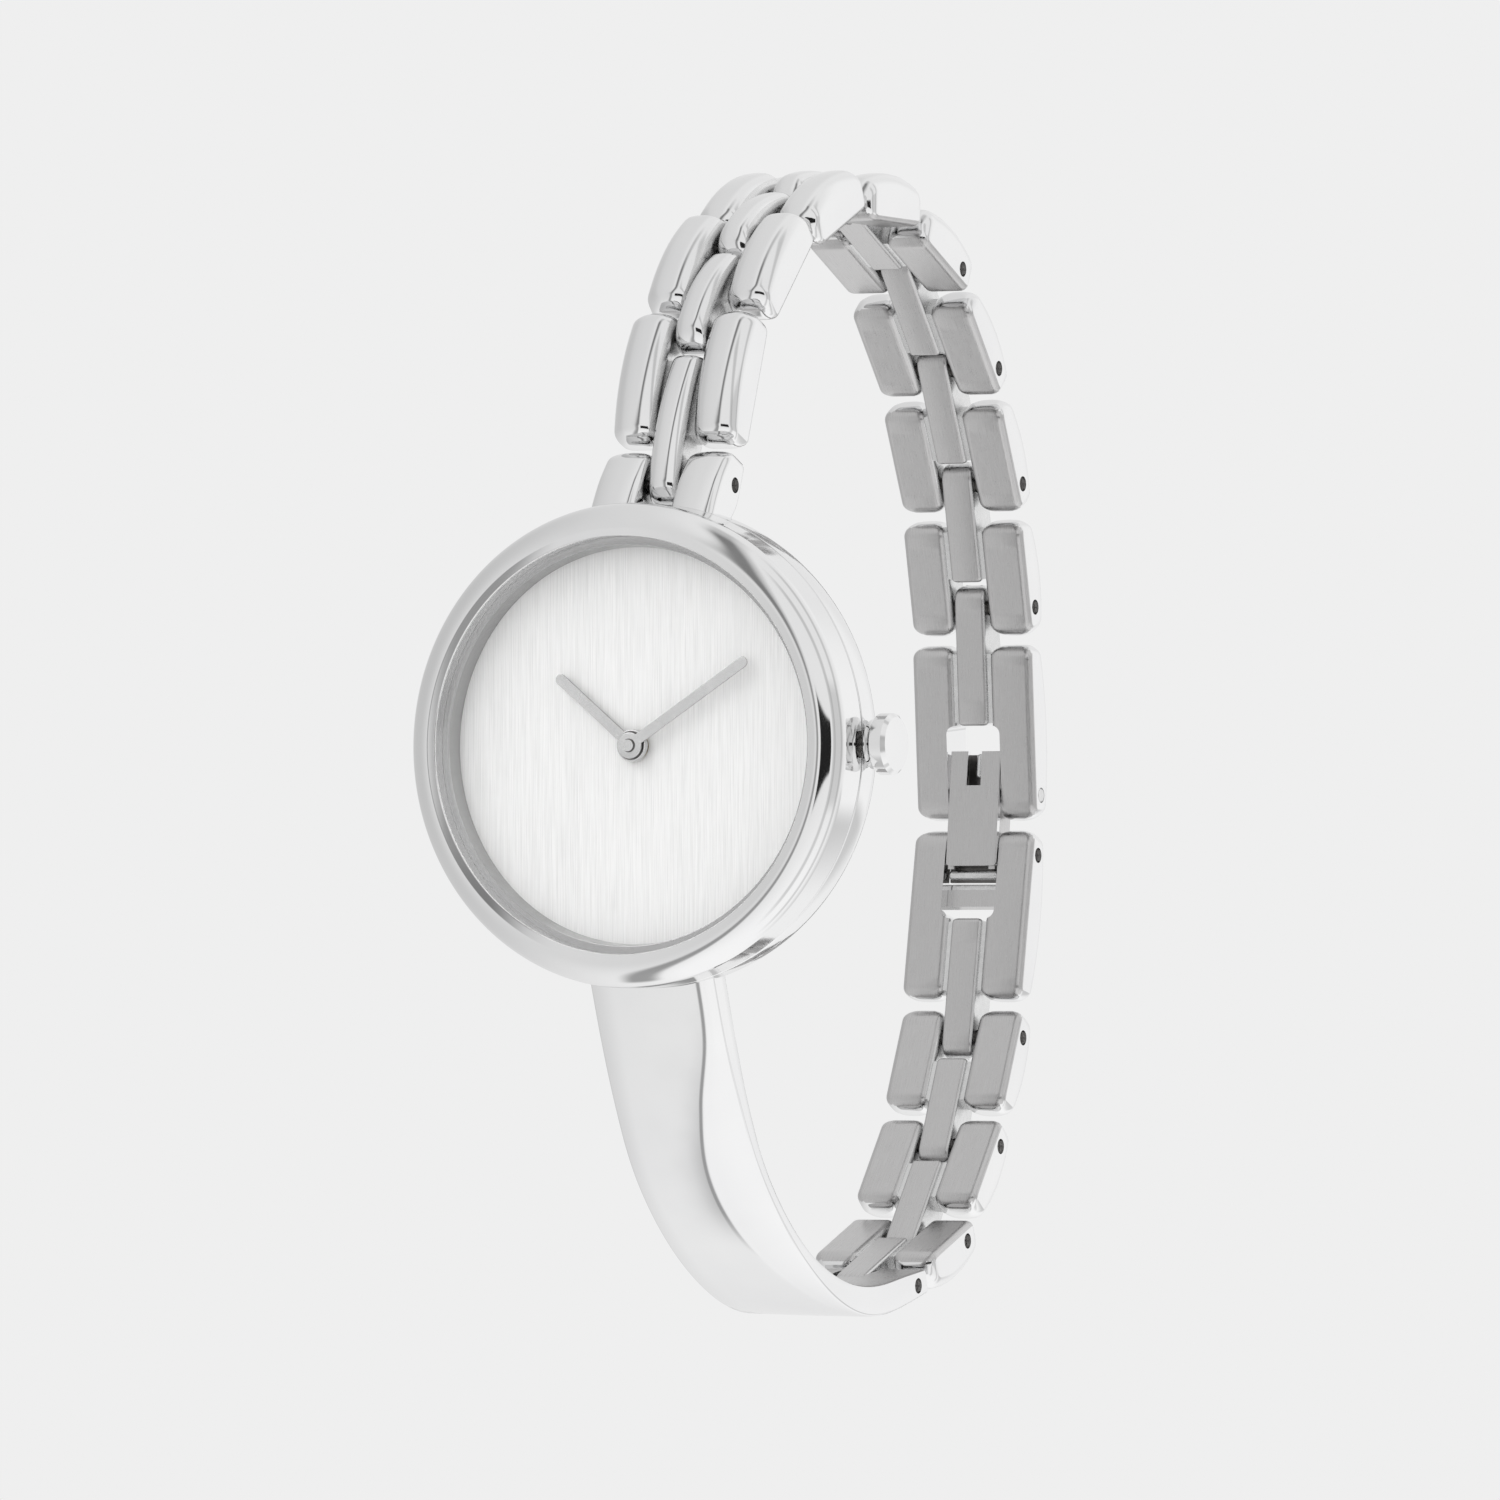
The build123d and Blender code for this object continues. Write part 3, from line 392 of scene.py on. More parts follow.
# %% Turn the bezel and the middle case
def turned(name, outline, finishes, body, stands_for=(), steps=320, soften=32, edges=()):
    """A ring from a profile of (radius, depth) points and arcs, spun about the axis of the hands."""
    bm = bmesh.new()
    draw(bm, outline[0], outline[1:])
    for corner, radius in edges:
        round_corner(bm, corner, radius, 4)
    # the outline was drawn in Y and Z; now the radius runs along X and the depth along Y
    for vertex in bm.verts:
        vertex.co = (vertex.co.y, vertex.co.z, 0)
    on_axis = [edge for edge in bm.edges if all(v.co.x < 1e-6 for v in edge.verts)]
    bmesh.ops.delete(bm, geom=on_axis, context="EDGES")
    bmesh.ops.spin(
        bm, geom=bm.verts[:] + bm.edges[:], cent=(0, 0, 0), axis=(0, 1, 0), dvec=(0, 0, 0),
        angle=2 * math.pi, steps=steps, use_merge=True, use_duplicate=False,
    )
    return finish_piece(bm, name, finishes, body, stands_for, Matrix.Translation((0, dial_y, 0)), soften)


turned("bezel_ring", [
    (12.4, -0.97), (12.4, -1.72), (12.11, -1.72), (12.11, -2.12),
    ((12.3, -2.15), (12.6, -2.2), 8),
    ((13.644, -1.768), (14.05, -1.0), 26),
    (14.05, 1.05), (13.12, 1.05), (13.12, -0.97),
], [polished], "watch_head", ["bezel"], edges=(((14.05, 1.05), 0.09), ((12.11, -2.12), 0.04)))

turned("case_ring", [
    (12.4, -0.95), (13.1, -0.95), (13.1, 1.15), (14.05, 1.15), (14.05, 2.5),
    ((13.72, 3.5), (12.9, 4.2), 16),
    (12.1, 4.2), (12.1, 3.93), (11.7, 3.93), (11.7, 0.42), (12.4, 0.42),
], [polished], "watch_head", ["case_body"], edges=(((14.05, 1.15), 0.09),))

# %% Turn the crystal, the ring under it and the back
turned("crystal_disc", [
    (0, -1.15), (12.08, -1.15), (12.08, -2.05), (0, -2.05),
], [crystal], "watch_head", ["crystal"], soften=20)
turned("dial_wall", [
    (11.5, -0.02), (11.62, -1.13), (12.34, -1.13), (12.34, -0.02),
], [ring_steel], "watch_head", ["dial_ring"], edges=(((11.62, -1.13), 0.04),))
turned("back_lid", [
    (0, 4.74), (10.0, 4.74), (10.1, 4.8), (12.35, 4.8), (12.6, 4.55), (12.6, 4.22), (11.66, 4.22), (11.66, 3.52),
    (10.8, 3.52), (10.8, 4.22), (0, 4.22),
], [back_steel], "watch_head", ["case_back"], edges=(((12.35, 4.8), 0.08), ((12.6, 4.55), 0.08)))

# %% [markdown]
# ## Lugs
# Two curved lugs at 12 o'clock hold the first link between them. Each is a rounded bar, as wide as an outer link.
# Its inner and outer faces follow smooth lines through a few heights, which are given in the first link's own
# section, along it and out from it.

# %% Section frames and the lugs
def section_place(near, far, side):
    """The matrix from a link's own section (across, along, outwards) to the row's frame."""
    along = (far - near).normalized()
    outward = Vector((0, -along.z, along.y)) * side
    place = Matrix.Identity(4)
    for row in range(3):
        place[row][0] = (1, 0, 0)[row]
        place[row][1] = along[row]
        place[row][2] = outward[row]
        place[row][3] = near[row]
    return place


def inset(distance, across, along):
    """How far a rounded corner draws a side in, at a distance from the end of the piece."""
    if distance >= along:
        return 0.0
    return across * (1 - math.sqrt(max(0.0, 1 - (1 - distance / along) ** 2)))


def along_piece(start, end):
    """Stations from start to end, close together near the ends, where the corners are rounded."""
    rounded, end_steps, middle_steps = 1.3, 14, 16
    near = [rounded * (1 - math.cos(math.pi / 2 * step / end_steps)) for step in range(end_steps + 1)]
    room_left = end - start - 2 * near[-1]
    middle = [near[-1] + room_left * step / middle_steps for step in range(1, middle_steps)]
    far = [end - start - step for step in reversed(near)]
    return [start + step for step in near + middle + far]


def rounded_section(left, right, low, high, low_radius, high_radius, dome):
    """The points (x, z) of a rectangle with rounded corners, whose top falls off a little to both sides."""
    count, top_count = 6, 10
    room_left = 0.49 * min(right - left, high - low)
    corners = (
        (right, -1, low, 1, low_radius, -90), (right, -1, high, -1, high_radius, 0),
        (left, 1, high, -1, high_radius, 90), (left, 1, low, 1, low_radius, 180),
    )
    points = []
    for x, toward_x, z, toward_z, radius, first_turn in corners:
        radius = min(radius, room_left)
        for step in range(count + 1):
            turn = math.radians(first_turn + 90 * step / count)
            points.append((
                x + toward_x * radius + radius * math.cos(turn), z + toward_z * radius + radius * math.sin(turn),
            ))
    last = points[2 * count + 1]
    after = points[2 * count + 2]
    top = [(last[0] + (after[0] - last[0]) * step / top_count, high) for step in range(1, top_count)]
    points[2 * count + 2:2 * count + 2] = top
    centre, half = (left + right) / 2, (right - left) / 2
    middle = (low + high) / 2
    return [
        (x, z - dome * ((x - centre) / half) ** 2 * max(0.0, (z - middle) / (high - middle)))
        for x, z in points
    ]


def bar_sections(start, end, left, right, low, high, near, far, rims, dome=0.2):
    """
    Sections of a bar that runs from start to end. Its inner and outer faces are functions of the place along it.
    Each end is rounded by (inner, outer, across, along): two radii seen from the side and an oval seen from above.
    """
    sections = []
    for place in along_piece(start, end):
        first, last = place - start, end - place
        bottom = low(place) + inset(first, near[0], near[0]) + inset(last, far[0], far[0])
        top = high(place) - inset(first, near[1], near[1]) - inset(last, far[1], far[1])
        side = inset(first, near[2], near[3]) + inset(last, far[2], far[3])
        points = rounded_section(left + side, right - side, bottom, top, rims[0], rims[1], dome)
        sections.append([(x, place, z) for x, z in points])
    return sections


def flat_uv(bm):
    """Lays a UV map along the piece: across it and along it, in millimetres."""
    layer = bm.loops.layers.uv.new("along")
    for face in bm.faces:
        for loop in face.loops:
            loop[layer].uv = (loop.vert.co.x + 0.37 * loop.vert.co.z, loop.vert.co.y)


def mark_inner(bm, level, slope=-0.5):
    """Gives the faces that lie below a level and look inwards the second finish."""
    bmesh.ops.recalc_face_normals(bm, faces=bm.faces)
    for face in bm.faces:
        if face.normal.z < slope and all(v.co.z < level for v in face.verts):
            face.material_index = 1


def mark_sides(bm, toward_x):
    """Gives the sides that look at a neighbour the third finish: +X or -X, or both where toward_x is 0."""
    for face in bm.faces:
        facing = face.normal.x * toward_x if toward_x else abs(face.normal.x)
        if facing > 0.75:
            face.material_index = 2


def bore(piece, place, along, radius=pin_hole):
    """Drills a round hole across a piece, at a place along its own section."""
    bm = bmesh.new()
    bmesh.ops.create_cone(bm, cap_ends=True, segments=32, radius1=radius, radius2=radius, depth=20.0)
    turn = Matrix.Translation((0, along, 0)) @ Matrix.Rotation(math.pi / 2, 4, "Y")
    bmesh.ops.transform(bm, matrix=in_millimetres(place) @ turn, verts=bm.verts)
    cut(piece, bm, "pin_hole")


def through(knots):
    """A smooth function through a few (place, value) pairs."""
    def value(place):
        """The height at a place, on the cubic between the two nearest pairs."""
        index = 0
        while index < len(knots) - 2 and place > knots[index + 1][0]:
            index += 1
        (a, p), (b, q) = knots[index], knots[index + 1]
        before = knots[max(index - 1, 0)]
        after = knots[min(index + 2, len(knots) - 1)]
        part = min(max((place - a) / (b - a), 0.0), 1.0)
        leave = (q - before[1]) / (b - before[0]) * (b - a)
        arrive = (after[1] - p) / (after[0] - a) * (b - a)
        return (
            p * (2 * part ** 3 - 3 * part ** 2 + 1) + leave * (part ** 3 - 2 * part ** 2 + part)
            + q * (3 * part ** 2 - 2 * part ** 3) + arrive * (part ** 3 - part ** 2)
        )
    return value


bar_inside = 1.2
bar_sides = (("nine", -half_band, -bar_inside), ("three", bar_inside, half_band))
lug_root, lug_tip = -3.3, 2.05
first_place = section_place(hinges["link_1_hinge"], hinges["link_2_hinge"], 1)
lug_inner = through(((lug_root, -0.02), (-2.2, -0.34), (-1.0, -0.82), (0.2, -0.9), (lug_tip, -0.9)))
lug_outer = through(((lug_root, 2.45), (-1.95, 2.34), (-0.4, 2.04), (0.7, 1.66), (lug_tip, 1.1)))
for side_name, left, right in bar_sides:
    bm = bmesh.new()
    sweep(bm, bar_sections(
        lug_root, lug_tip, left, right, lug_inner, lug_outer, (0.0, 0.0, 0.0, 0.1), (0.8, 1.0, 1.1, 0.75),
        (0.3, 0.4),
    ))
    piece = finish_piece(bm, f"lug_{side_name}", [polished], "watch_head", ["case_body"], first_place)
    bore(piece, first_place, 0)

# %% [markdown]
# ## Links
# A link is an H: two outer links with rounded ends and a domed face, joined by a centre link whose tongue goes
# between the outer links of its neighbour. Each is a rounded rectangle that is extruded along the link and drawn in
# towards both ends, so the domes, rims and round ends are one smooth surface. The outside is polished, the face
# towards the wrist is brushed, and the sides that look at a neighbour are satin. A web hidden below joins the bars.

# %% One link from its pin centres
link_inside = -0.95
link_height = 1.9
link_swell = 0.7
tongue_room = 1.76
tongue_hole = 0.5


def make_link(name, body, node, near, far, side, start, end, window=0.0, plugged=False, height=link_height):
    """
    An H between two pins. The outer bars begin at start and reach as far as end past the far pin. Where a window
    is given, an opening begins at it. A plugged link shows no hole on the crown's side.
    """
    reach = (far - near).length / MM
    place = section_place(near, far, side)
    tail = reach + end
    middle, half = (start + tail) / 2, (tail - start) / 2
    centre_end = window if window else reach - tongue_room
    outer_line = lambda at: height - link_swell * ((at - middle) / half) ** 2
    inner_line = lambda at: link_inside
    for side_name, left, right in bar_sides:
        bm = bmesh.new()
        sweep(bm, bar_sections(
            start, tail, left, right, inner_line, outer_line, (0.85, 0.8, 0.8, 0.7), (1.0, 1.0, 1.2, 0.85),
            (0.45, 0.85), 0.25,
        ))
        mark_inner(bm, -0.5, -0.15)
        mark_sides(bm, 1 if left < 0 else -1)
        flat_uv(bm)
        piece = finish_piece(bm, f"{name}_{side_name}", [polished, stroked, satin], body, [node], place)
        if not (plugged and side_name == "three"):
            bore(piece, place, reach)
        if window:
            bm = bmesh.new()
            bmesh.ops.create_cube(bm, size=1.0)
            bmesh.ops.scale(bm, vec=(3.6, 14.0, 9.0), verts=bm.verts)
            bmesh.ops.translate(bm, vec=(0, window + 7.0, 0), verts=bm.verts)
            corners = [
                edge for edge in bm.edges
                if all(abs(v.co.y - window) < 1e-4 for v in edge.verts)
                and abs(edge.verts[0].co.x - edge.verts[1].co.x) < 1e-4
            ]
            bmesh.ops.bevel(bm, geom=corners, offset=0.5, segments=8, profile=0.5, affect="EDGES", material=-1)
            bmesh.ops.transform(bm, matrix=in_millimetres(place), verts=bm.verts)
            cut(piece, bm, "window")
    bm = bmesh.new()
    middle, half = (centre_end - 1.4) / 2, (centre_end + 1.4) / 2
    tongue_line = lambda at: height - 0.02 - link_swell * ((at - middle) / half) ** 2
    sweep(bm, bar_sections(
        -1.4, centre_end, -1.0, 1.0, inner_line, tongue_line, (1.0, 1.1, 0.45, 0.35), (0.25, 0.5, 0.3, 0.25),
        (0.2, 0.6),
    ))
    mark_inner(bm, -0.5, -0.15)
    mark_sides(bm, 0)
    flat_uv(bm)
    piece = finish_piece(bm, f"{name}_middle", [polished, stroked, satin], body, [node], place)
    bore(piece, place, 0, tongue_hole)
    bm = bmesh.new()
    draw(bm, (start + 0.5, -0.75), [(centre_end - 0.2, -0.75), (centre_end - 0.2, 0.75), (start + 0.5, 0.75)])
    thicken(bm, -1.3, 1.3)
    finish_piece(bm, f"{name}_web", [satin], body, [node], place)
    return place


# %% Make the eight upper links and the three lower ones
upper = [hinges[f"link_{count}_hinge"] for count in range(1, 9)] + [hinges["upper_clasp_hinge"]]
bar_start, bar_end, clasp_bar_end = 2.3, 1.75, 1.55
starts = (2.45, 1.75, 2.15) + (bar_start,) * 5
ends = (1.15, 1.95) + (bar_end,) * 6
for count in range(8):
    name = f"link_{count + 1}"
    make_link(
        f"upper_{count + 1}", name, name, upper[count], upper[count + 1], 1, starts[count], ends[count],
        plugged=count < 4, height=2.1 if count < 5 else link_height,
    )
lower = [hinges[f"lower_link_{count}_hinge"] for count in (1, 2, 3)] + [hinges["lower_clasp_hinge"]]
for count in range(3):
    name = f"lower_link_{count + 1}"
    make_link(f"lower_{count + 1}", name, name, lower[count], lower[count + 1], -1, bar_start, bar_end)
make_link(
    "upper_end", "upper_clasp", "upper_clasp_link", upper[-1], catch_centre, 1, bar_start, clasp_bar_end,
    window=7.2,
)
lower_place = make_link(
    "lower_end", "lower_clasp", "lower_clasp_link", lower[-1], hinges["clip_hinge"], -1, bar_start, clasp_bar_end,
    window=7.3,
)

# %% Close the lower clasp link's window
clip_gap = 1.74
lip_end = (hinges["clip_hinge"] - lower[-1]).length / MM - clip_gap
bm = bmesh.new()
draw(bm, (8.15, -0.1), [(9.2, -0.1), (9.2, 0.9), (8.15, 0.9)])
thicken(bm, -1.85, 1.85)
soften_rims(bm, 0.1)
flat_uv(bm)
finish_piece(bm, "cross_bar", [stroked], "lower_clasp", (), lower_place)
bm = bmesh.new()
draw(bm, (9.1, 0.35), [(lip_end, 0.35), (lip_end, 0.75), (9.1, 0.75)])
thicken(bm, -1.8, 1.8)
soften_rims(bm, 0.06)
finish_piece(bm, "cross_lip", [satin], "lower_clasp", (), lower_place)
print("lip at the lower window ends at", round(lip_end, 2), "mm along its link")

# %% [markdown]
# ## Bangle
# The lower half of the watch is one stiff strip of steel with a long facet on the crown's side. Its cross-section
# has a nearly flat face, a rounded crease, a slightly full facet and a flat inside. It is extruded from station to
# station along two measured lines, one for the outer face and one for the inner.

# %% Two smooth lines
bangle_end = hinges["lower_link_1_hinge"] / MM
outer_shares = (
    (0.0123, 0.0476), (0.0582, 0.2169), (0.1093, 0.381), (0.1928, 0.599), (0.2952, 0.7656), (0.432, 0.9191),
    (0.5988, 1.0403), (0.7435, 1.09), (0.8629, 1.0805), (0.9678, 1.0503),
)
inner_shares = (
    (0.0093, 0.0349), (0.0493, 0.1826), (0.1048, 0.3646), (0.1657, 0.5228), (0.2165, 0.6244), (0.3186, 0.7641),
    (0.442, 0.8821), (0.5891, 0.963), (0.7055, 0.9916), (0.8141, 0.9905), (0.9111, 0.9709),
)


bangle_root_z = -13.0


def face_line(front, shares, tip, count):
    """Evenly spaced points (y, z) in millimetres along a smooth line through the measured ones."""
    root = Vector((dial_y / MM + front, bangle_root_z))
    reach = Vector((bangle_end.y, bangle_end.z)) - root
    knots = [root] + [root + Vector((back * reach.x, down * reach.y)) for back, down in shares]
    knots.append(Vector((bangle_end.y + tip[0], bangle_end.z + tip[1])))
    line = []
    for index in range(len(knots) - 1):
        here, there = knots[index], knots[index + 1]
        before = knots[index - 1] if index else here
        after = knots[index + 2] if index + 2 < len(knots) else there
        size = (there - here).length
        leave = (there - before).normalized() * size / 3
        arrive = (after - here).normalized() * size / 3
        line += interpolate_bezier(here, here + leave, there - arrive, there, 24)[:-1]
    line.append(knots[-1])
    walked = [0.0]
    for a, b in zip(line, line[1:]):
        walked.append(walked[-1] + (b - a).length)
    even, index = [], 0
    for step in range(count + 1):
        goal = walked[-1] * step / count
        while index < len(walked) - 2 and walked[index + 1] < goal:
            index += 1
        share = (goal - walked[index]) / max(walked[index + 1] - walked[index], 1e-9)
        even.append(line[index].lerp(line[index + 1], min(share, 1.0)))
    for _ in range(30):
        even = [even[0]] + [
            even[i] * 0.5 + (even[i - 1] + even[i + 1]) * 0.25 for i in range(1, count)
        ] + [even[-1]]
    return even


stations = 150
outer_line = face_line(1.55, outer_shares, (1.35, -0.4), stations)
inner_line = face_line(3.42, inner_shares, (0.95, 0.95), stations)
print("bangle line", len(outer_line), "stations")

# %% Sweep the strip and cut its end
crease_shares = (0.765, 0.716, 0.432, 0.247, 0.259, 0.432, 0.679, 0.889, 1.0, 1.0)
facet_slope, facet_swell = 0.2, 0.009
face_drop, edge_round = 0.11, 0.13
bend_y, bend_radius = -3.0, 33.0


def crease_at(share):
    """Where the facet's corner line lies across the strip, in millimetres, at a share of its length."""
    place_on = share * (len(crease_shares) - 1)
    index = min(int(place_on), len(crease_shares) - 2)
    part = place_on - index
    p = [crease_shares[max(0, min(len(crease_shares) - 1, index + k))] for k in (-1, 0, 1, 2)]
    value = 0.5 * (
        2 * p[1] + (p[2] - p[0]) * part + (2 * p[0] - 5 * p[1] + 4 * p[2] - p[3]) * part ** 2
        + (3 * p[1] - p[0] - 3 * p[2] + p[3]) * part ** 3
    )
    return min(value, 0.97) * half_band


def section_points(index):
    """The strip's cross-section at a station: the flat face, the rounded crease, the full facet and the inside."""
    out, inside = outer_line[index], inner_line[index]
    inward = (inside - out).normalized()
    thick = (inside - out).length
    corner = crease_at(index / stations)
    wide = half_band - corner
    drop = facet_slope * wide
    ease = min(0.25, wide / 3)
    outline = [(-half_band, 0.24), (-half_band + 0.04, 0.15), (-half_band + 0.14, face_drop)]
    for share in (0.8, 0.6, 0.4, 0.2):
        outline.append((corner - ease + (0.14 - half_band - corner + ease) * share, face_drop * share ** 2))
    for step in range(7):
        t = step / 6
        outline.append((corner - ease + 2 * ease * t, facet_slope * ease * t * t))
    for step in range(1, 9):
        t = step / 8
        across = corner + ease + (wide - ease - edge_round) * t
        outline.append((across, facet_slope * (across - corner) - facet_swell * wide * 4 * t * (1 - t)))
    outline += [
        (half_band - edge_round + edge_round * math.sin(turn), drop - 0.02 + edge_round * (1 - math.cos(turn)))
        for turn in (0.35, 0.7, 1.05, 1.4)
    ]
    outline += [
        (half_band, thick - 0.2), (half_band - 0.06, thick - 0.06), (half_band - 0.2, thick),
        (0.3 - half_band, thick), (0.06 - half_band, thick - 0.06), (-half_band, thick - 0.2),
    ]
    return [(x, out.x + inward.x * depth, out.y + inward.y * depth) for x, depth in outline]


inner_seats = (27, 28, 29, 30)  # the section's points on the side of the wrist
bm = bmesh.new()
seat = sweep(bm, [section_points(index) for index in range(stations + 1)])
layer = bm.loops.layers.uv.new("along")
for face in bm.faces:
    if all(v[seat] in inner_seats for v in face.verts):
        face.material_index = 1
    for loop in face.loops:
        spot = loop.vert.co
        turned_by = math.atan2(bend_y - spot.y, -spot.z)
        loop[layer].uv = (spot.x, bend_radius * turned_by)
print("bangle faces", len(bm.faces))
bangle = finish_piece(bm, "bangle_half", [polished, stroked], "watch_head", ["bangle"], soften=50)

fork_place = section_place(bangle_end * MM, lower[1], -1)
bm = bmesh.new()
bmesh.ops.create_cube(bm, size=1.0)
bmesh.ops.scale(bm, vec=(2.4, 6.0, 6.0), verts=bm.verts)
bmesh.ops.translate(bm, vec=(0, 3.0 - tongue_room, 0), verts=bm.verts)
bmesh.ops.transform(bm, matrix=in_millimetres(fork_place), verts=bm.verts)
cut(bangle, bm, "fork")
bore(bangle, fork_place, 0)

# %% [markdown]
# ## Hands, crown and clip
# The small pieces are made the same way. The hands are thin batons with round ends over two bosses, with painted
# shade along their edges; the crown is turned about its own axis, and the clip is a plate with a slot between two
# cheeks. Two thin dark rings and two dark beds are painted shade: round the edge of the pin, under the minute boss
# and inside the clip, where the pale room would otherwise show.

# %% Hands
hand_half_width = 0.32


def make_hand(name, body, node, tip, back, front, boss, boss_back, boss_front):
    """A baton hand that points at a place (x, z) on the dial, with heights counted forward from the dial."""
    length = math.hypot(*tip)
    turn = Matrix.Rotation(-math.atan2(tip[1], tip[0]), 4, "Y")
    lie = Matrix(((0, 1, 0, 0), (-1, 0, 0, 0), (0, 0, 1, 0), (0, 0, 0, 1)))
    bm = bmesh.new()
    half = hand_half_width
    draw(bm, (0, -half), [
        (length - half, -half), ((length, 0), (length - half, half), 16), (0, half), ((-half, 0), (0, -half), 16),
    ])
    thicken(bm, back, front)
    soften_rims(bm, 0.03)
    bmesh.ops.recalc_face_normals(bm, faces=bm.faces)
    # the hand's narrow edges take the second, dark steel: painted shade along its outline
    for face in bm.faces:
        if abs(face.normal.x) < 0.4:
            face.material_index = 1
    place = Matrix.Translation((0, dial_y, 0)) @ turn @ lie
    finish_piece(bm, name, [hand_steel, pin_steel], body, [node], place)
    turned(f"{name}_boss", [
        (0, -boss_back), (0, -boss_front), (boss, -boss_front), (boss, -boss_back),
    ], [hand_steel], body, [node], steps=96, edges=(((boss, -boss_front), 0.05),))


def hand_tip(length, degrees):
    """The tip (x, z) of a hand, with the angle counted from the crown towards 12 o'clock."""
    return (length * math.cos(math.radians(degrees)), length * math.sin(math.radians(degrees)))


make_hand("hour_blade", "hour_work", "hour_hand", hand_tip(6.33, 140), 0.45, 0.575, 0.925, 0.25, 0.6)
make_hand("minute_blade", "minute_work", "minute_hand", hand_tip(9.03, 33), 0.75, 0.845, 0.76, 0.71, 0.866)
# two dark rings of painted shade: one round the edge of the centre pin, one on the hour boss under the minute boss
for name, hole, rim, back, front, body, node in (
    ("minute_pin_shade", 0.33, 0.4, 0.8, 0.878, "minute_work", "minute_hand"),
    ("hour_shade", 0.3, 0.84, 0.58, 0.606, "hour_work", "hour_hand"),
):
    turned(name, [
        (hole, -back), (hole, -front), (rim, -front), (rim, -back), (hole, -back),
    ], [pin_steel], body, [node], steps=96)

# %% Crown
bm = bmesh.new()
draw(bm, (14.3, 0), [
    (14.3, 1.45), ((14.5, 1.5), (14.82, 1.78), 8), (15.53, 1.78), (15.75, 1.56), (15.75, 0),
])
for vertex in bm.verts:
    vertex.co = (vertex.co.y, 0, vertex.co.z)
axis_edges = [edge for edge in bm.edges if all(abs(v.co.z) < 1e-6 for v in edge.verts)]
bmesh.ops.delete(bm, geom=axis_edges, context="EDGES")
bmesh.ops.spin(
    bm, geom=bm.verts[:] + bm.edges[:], cent=(0, 0, 0), axis=(1, 0, 0), dvec=(0, 0, 0),
    angle=2 * math.pi, steps=96, use_merge=True, use_duplicate=False,
)
crown_y = (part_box("crown")[0].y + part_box("crown")[1].y) / 2
finish_piece(bm, "crown_knob", [polished], "crown_and_stem", ["crown"], Matrix.Translation((0, crown_y, 0)))

# %% Clip
clip_place = section_place(hinges["clip_hinge"], catch_centre, -1)
plate_end, plate_from, plate_to, catch_slot = 6.3, -1.6, 1.75, 0.465
flat_side = Matrix(((0, 0, 1, 0), (0, 1, 0, 0), (1, 0, 0, 0), (0, 0, 0, 1)))
bm = bmesh.new()
draw(bm, (-0.78, plate_from), [
    (plate_end, plate_from), (plate_end, -catch_slot), (4.2, -catch_slot), (4.2, catch_slot), (plate_end, catch_slot),
    (plate_end, plate_to), (-0.78, plate_to),
])
for corner in ((-0.78, plate_from), (-0.78, plate_to)):
    round_corner(bm, corner, 0.25)
thicken(bm, -1.25, -0.85)
soften_rims(bm, 0.05)
bmesh.ops.transform(bm, matrix=flat_side, verts=bm.verts)
flat_uv(bm)
mark_inner(bm, -1.22)
finish_piece(bm, "clip_plate", [polished, stroked], "clip", ["clip"], clip_place)
for side_name, start, end in (("nine", -1.6, -1.15), ("three", 1.15, 1.6)):
    bm = bmesh.new()
    draw(bm, (-0.95, -0.95), [
        (6.2, -0.95), (6.2, -0.1), (3.3, -0.05), (2.67, 0.65), (2.37, 0.95), (-0.65, 0.95), (-0.95, 0.65),
    ])
    drill(bm, (0, 0), 0.5)
    thicken(bm, start, end)
    soften_rims(bm, 0.05)
    flat_uv(bm)
    finish_piece(bm, f"clip_cheek_{side_name}", [stroked], "clip", ["clip"], clip_place)
for name, length, across, along, out, turn in (
    ("clip_catch", 1.5, 0.2, 5.45, -0.62, Matrix.Rotation(math.pi / 2, 4, "X")),
    ("clip_heel", 3.3, 0.0, -1.28, -0.42, Matrix.Rotation(math.pi / 2, 4, "Y")),
):
    bm = bmesh.new()
    bmesh.ops.create_cone(bm, cap_ends=True, segments=48, radius1=0.3, radius2=0.3, depth=length)
    rims = [edge for edge in bm.edges if edge.calc_face_angle(0) > 0.6]
    bmesh.ops.bevel(bm, geom=rims, offset=0.2, segments=6, profile=0.5, affect="EDGES", material=-1)
    bmesh.ops.transform(bm, matrix=Matrix.Translation((across, along, out)) @ turn, verts=bm.verts)
    finish_piece(bm, name, [satin], "clip", ["clip"], clip_place)

# two dark plates of painted shade behind the catch and the heel, inside the clip
for name, first, last, reach_across in (("clip_catch_shade", 3.6, 6.2, 1.1), ("clip_heel_shade", -1.7, -0.6, 1.74)):
    bm = bmesh.new()
    draw(bm, (first, -0.2), [(last, -0.2), (last, 0.0), (first, 0.0)])
    thicken(bm, -reach_across, reach_across)
    soften_rims(bm, 0.05)
    finish_piece(bm, name, [pin_steel], "clip", ["clip"], clip_place)
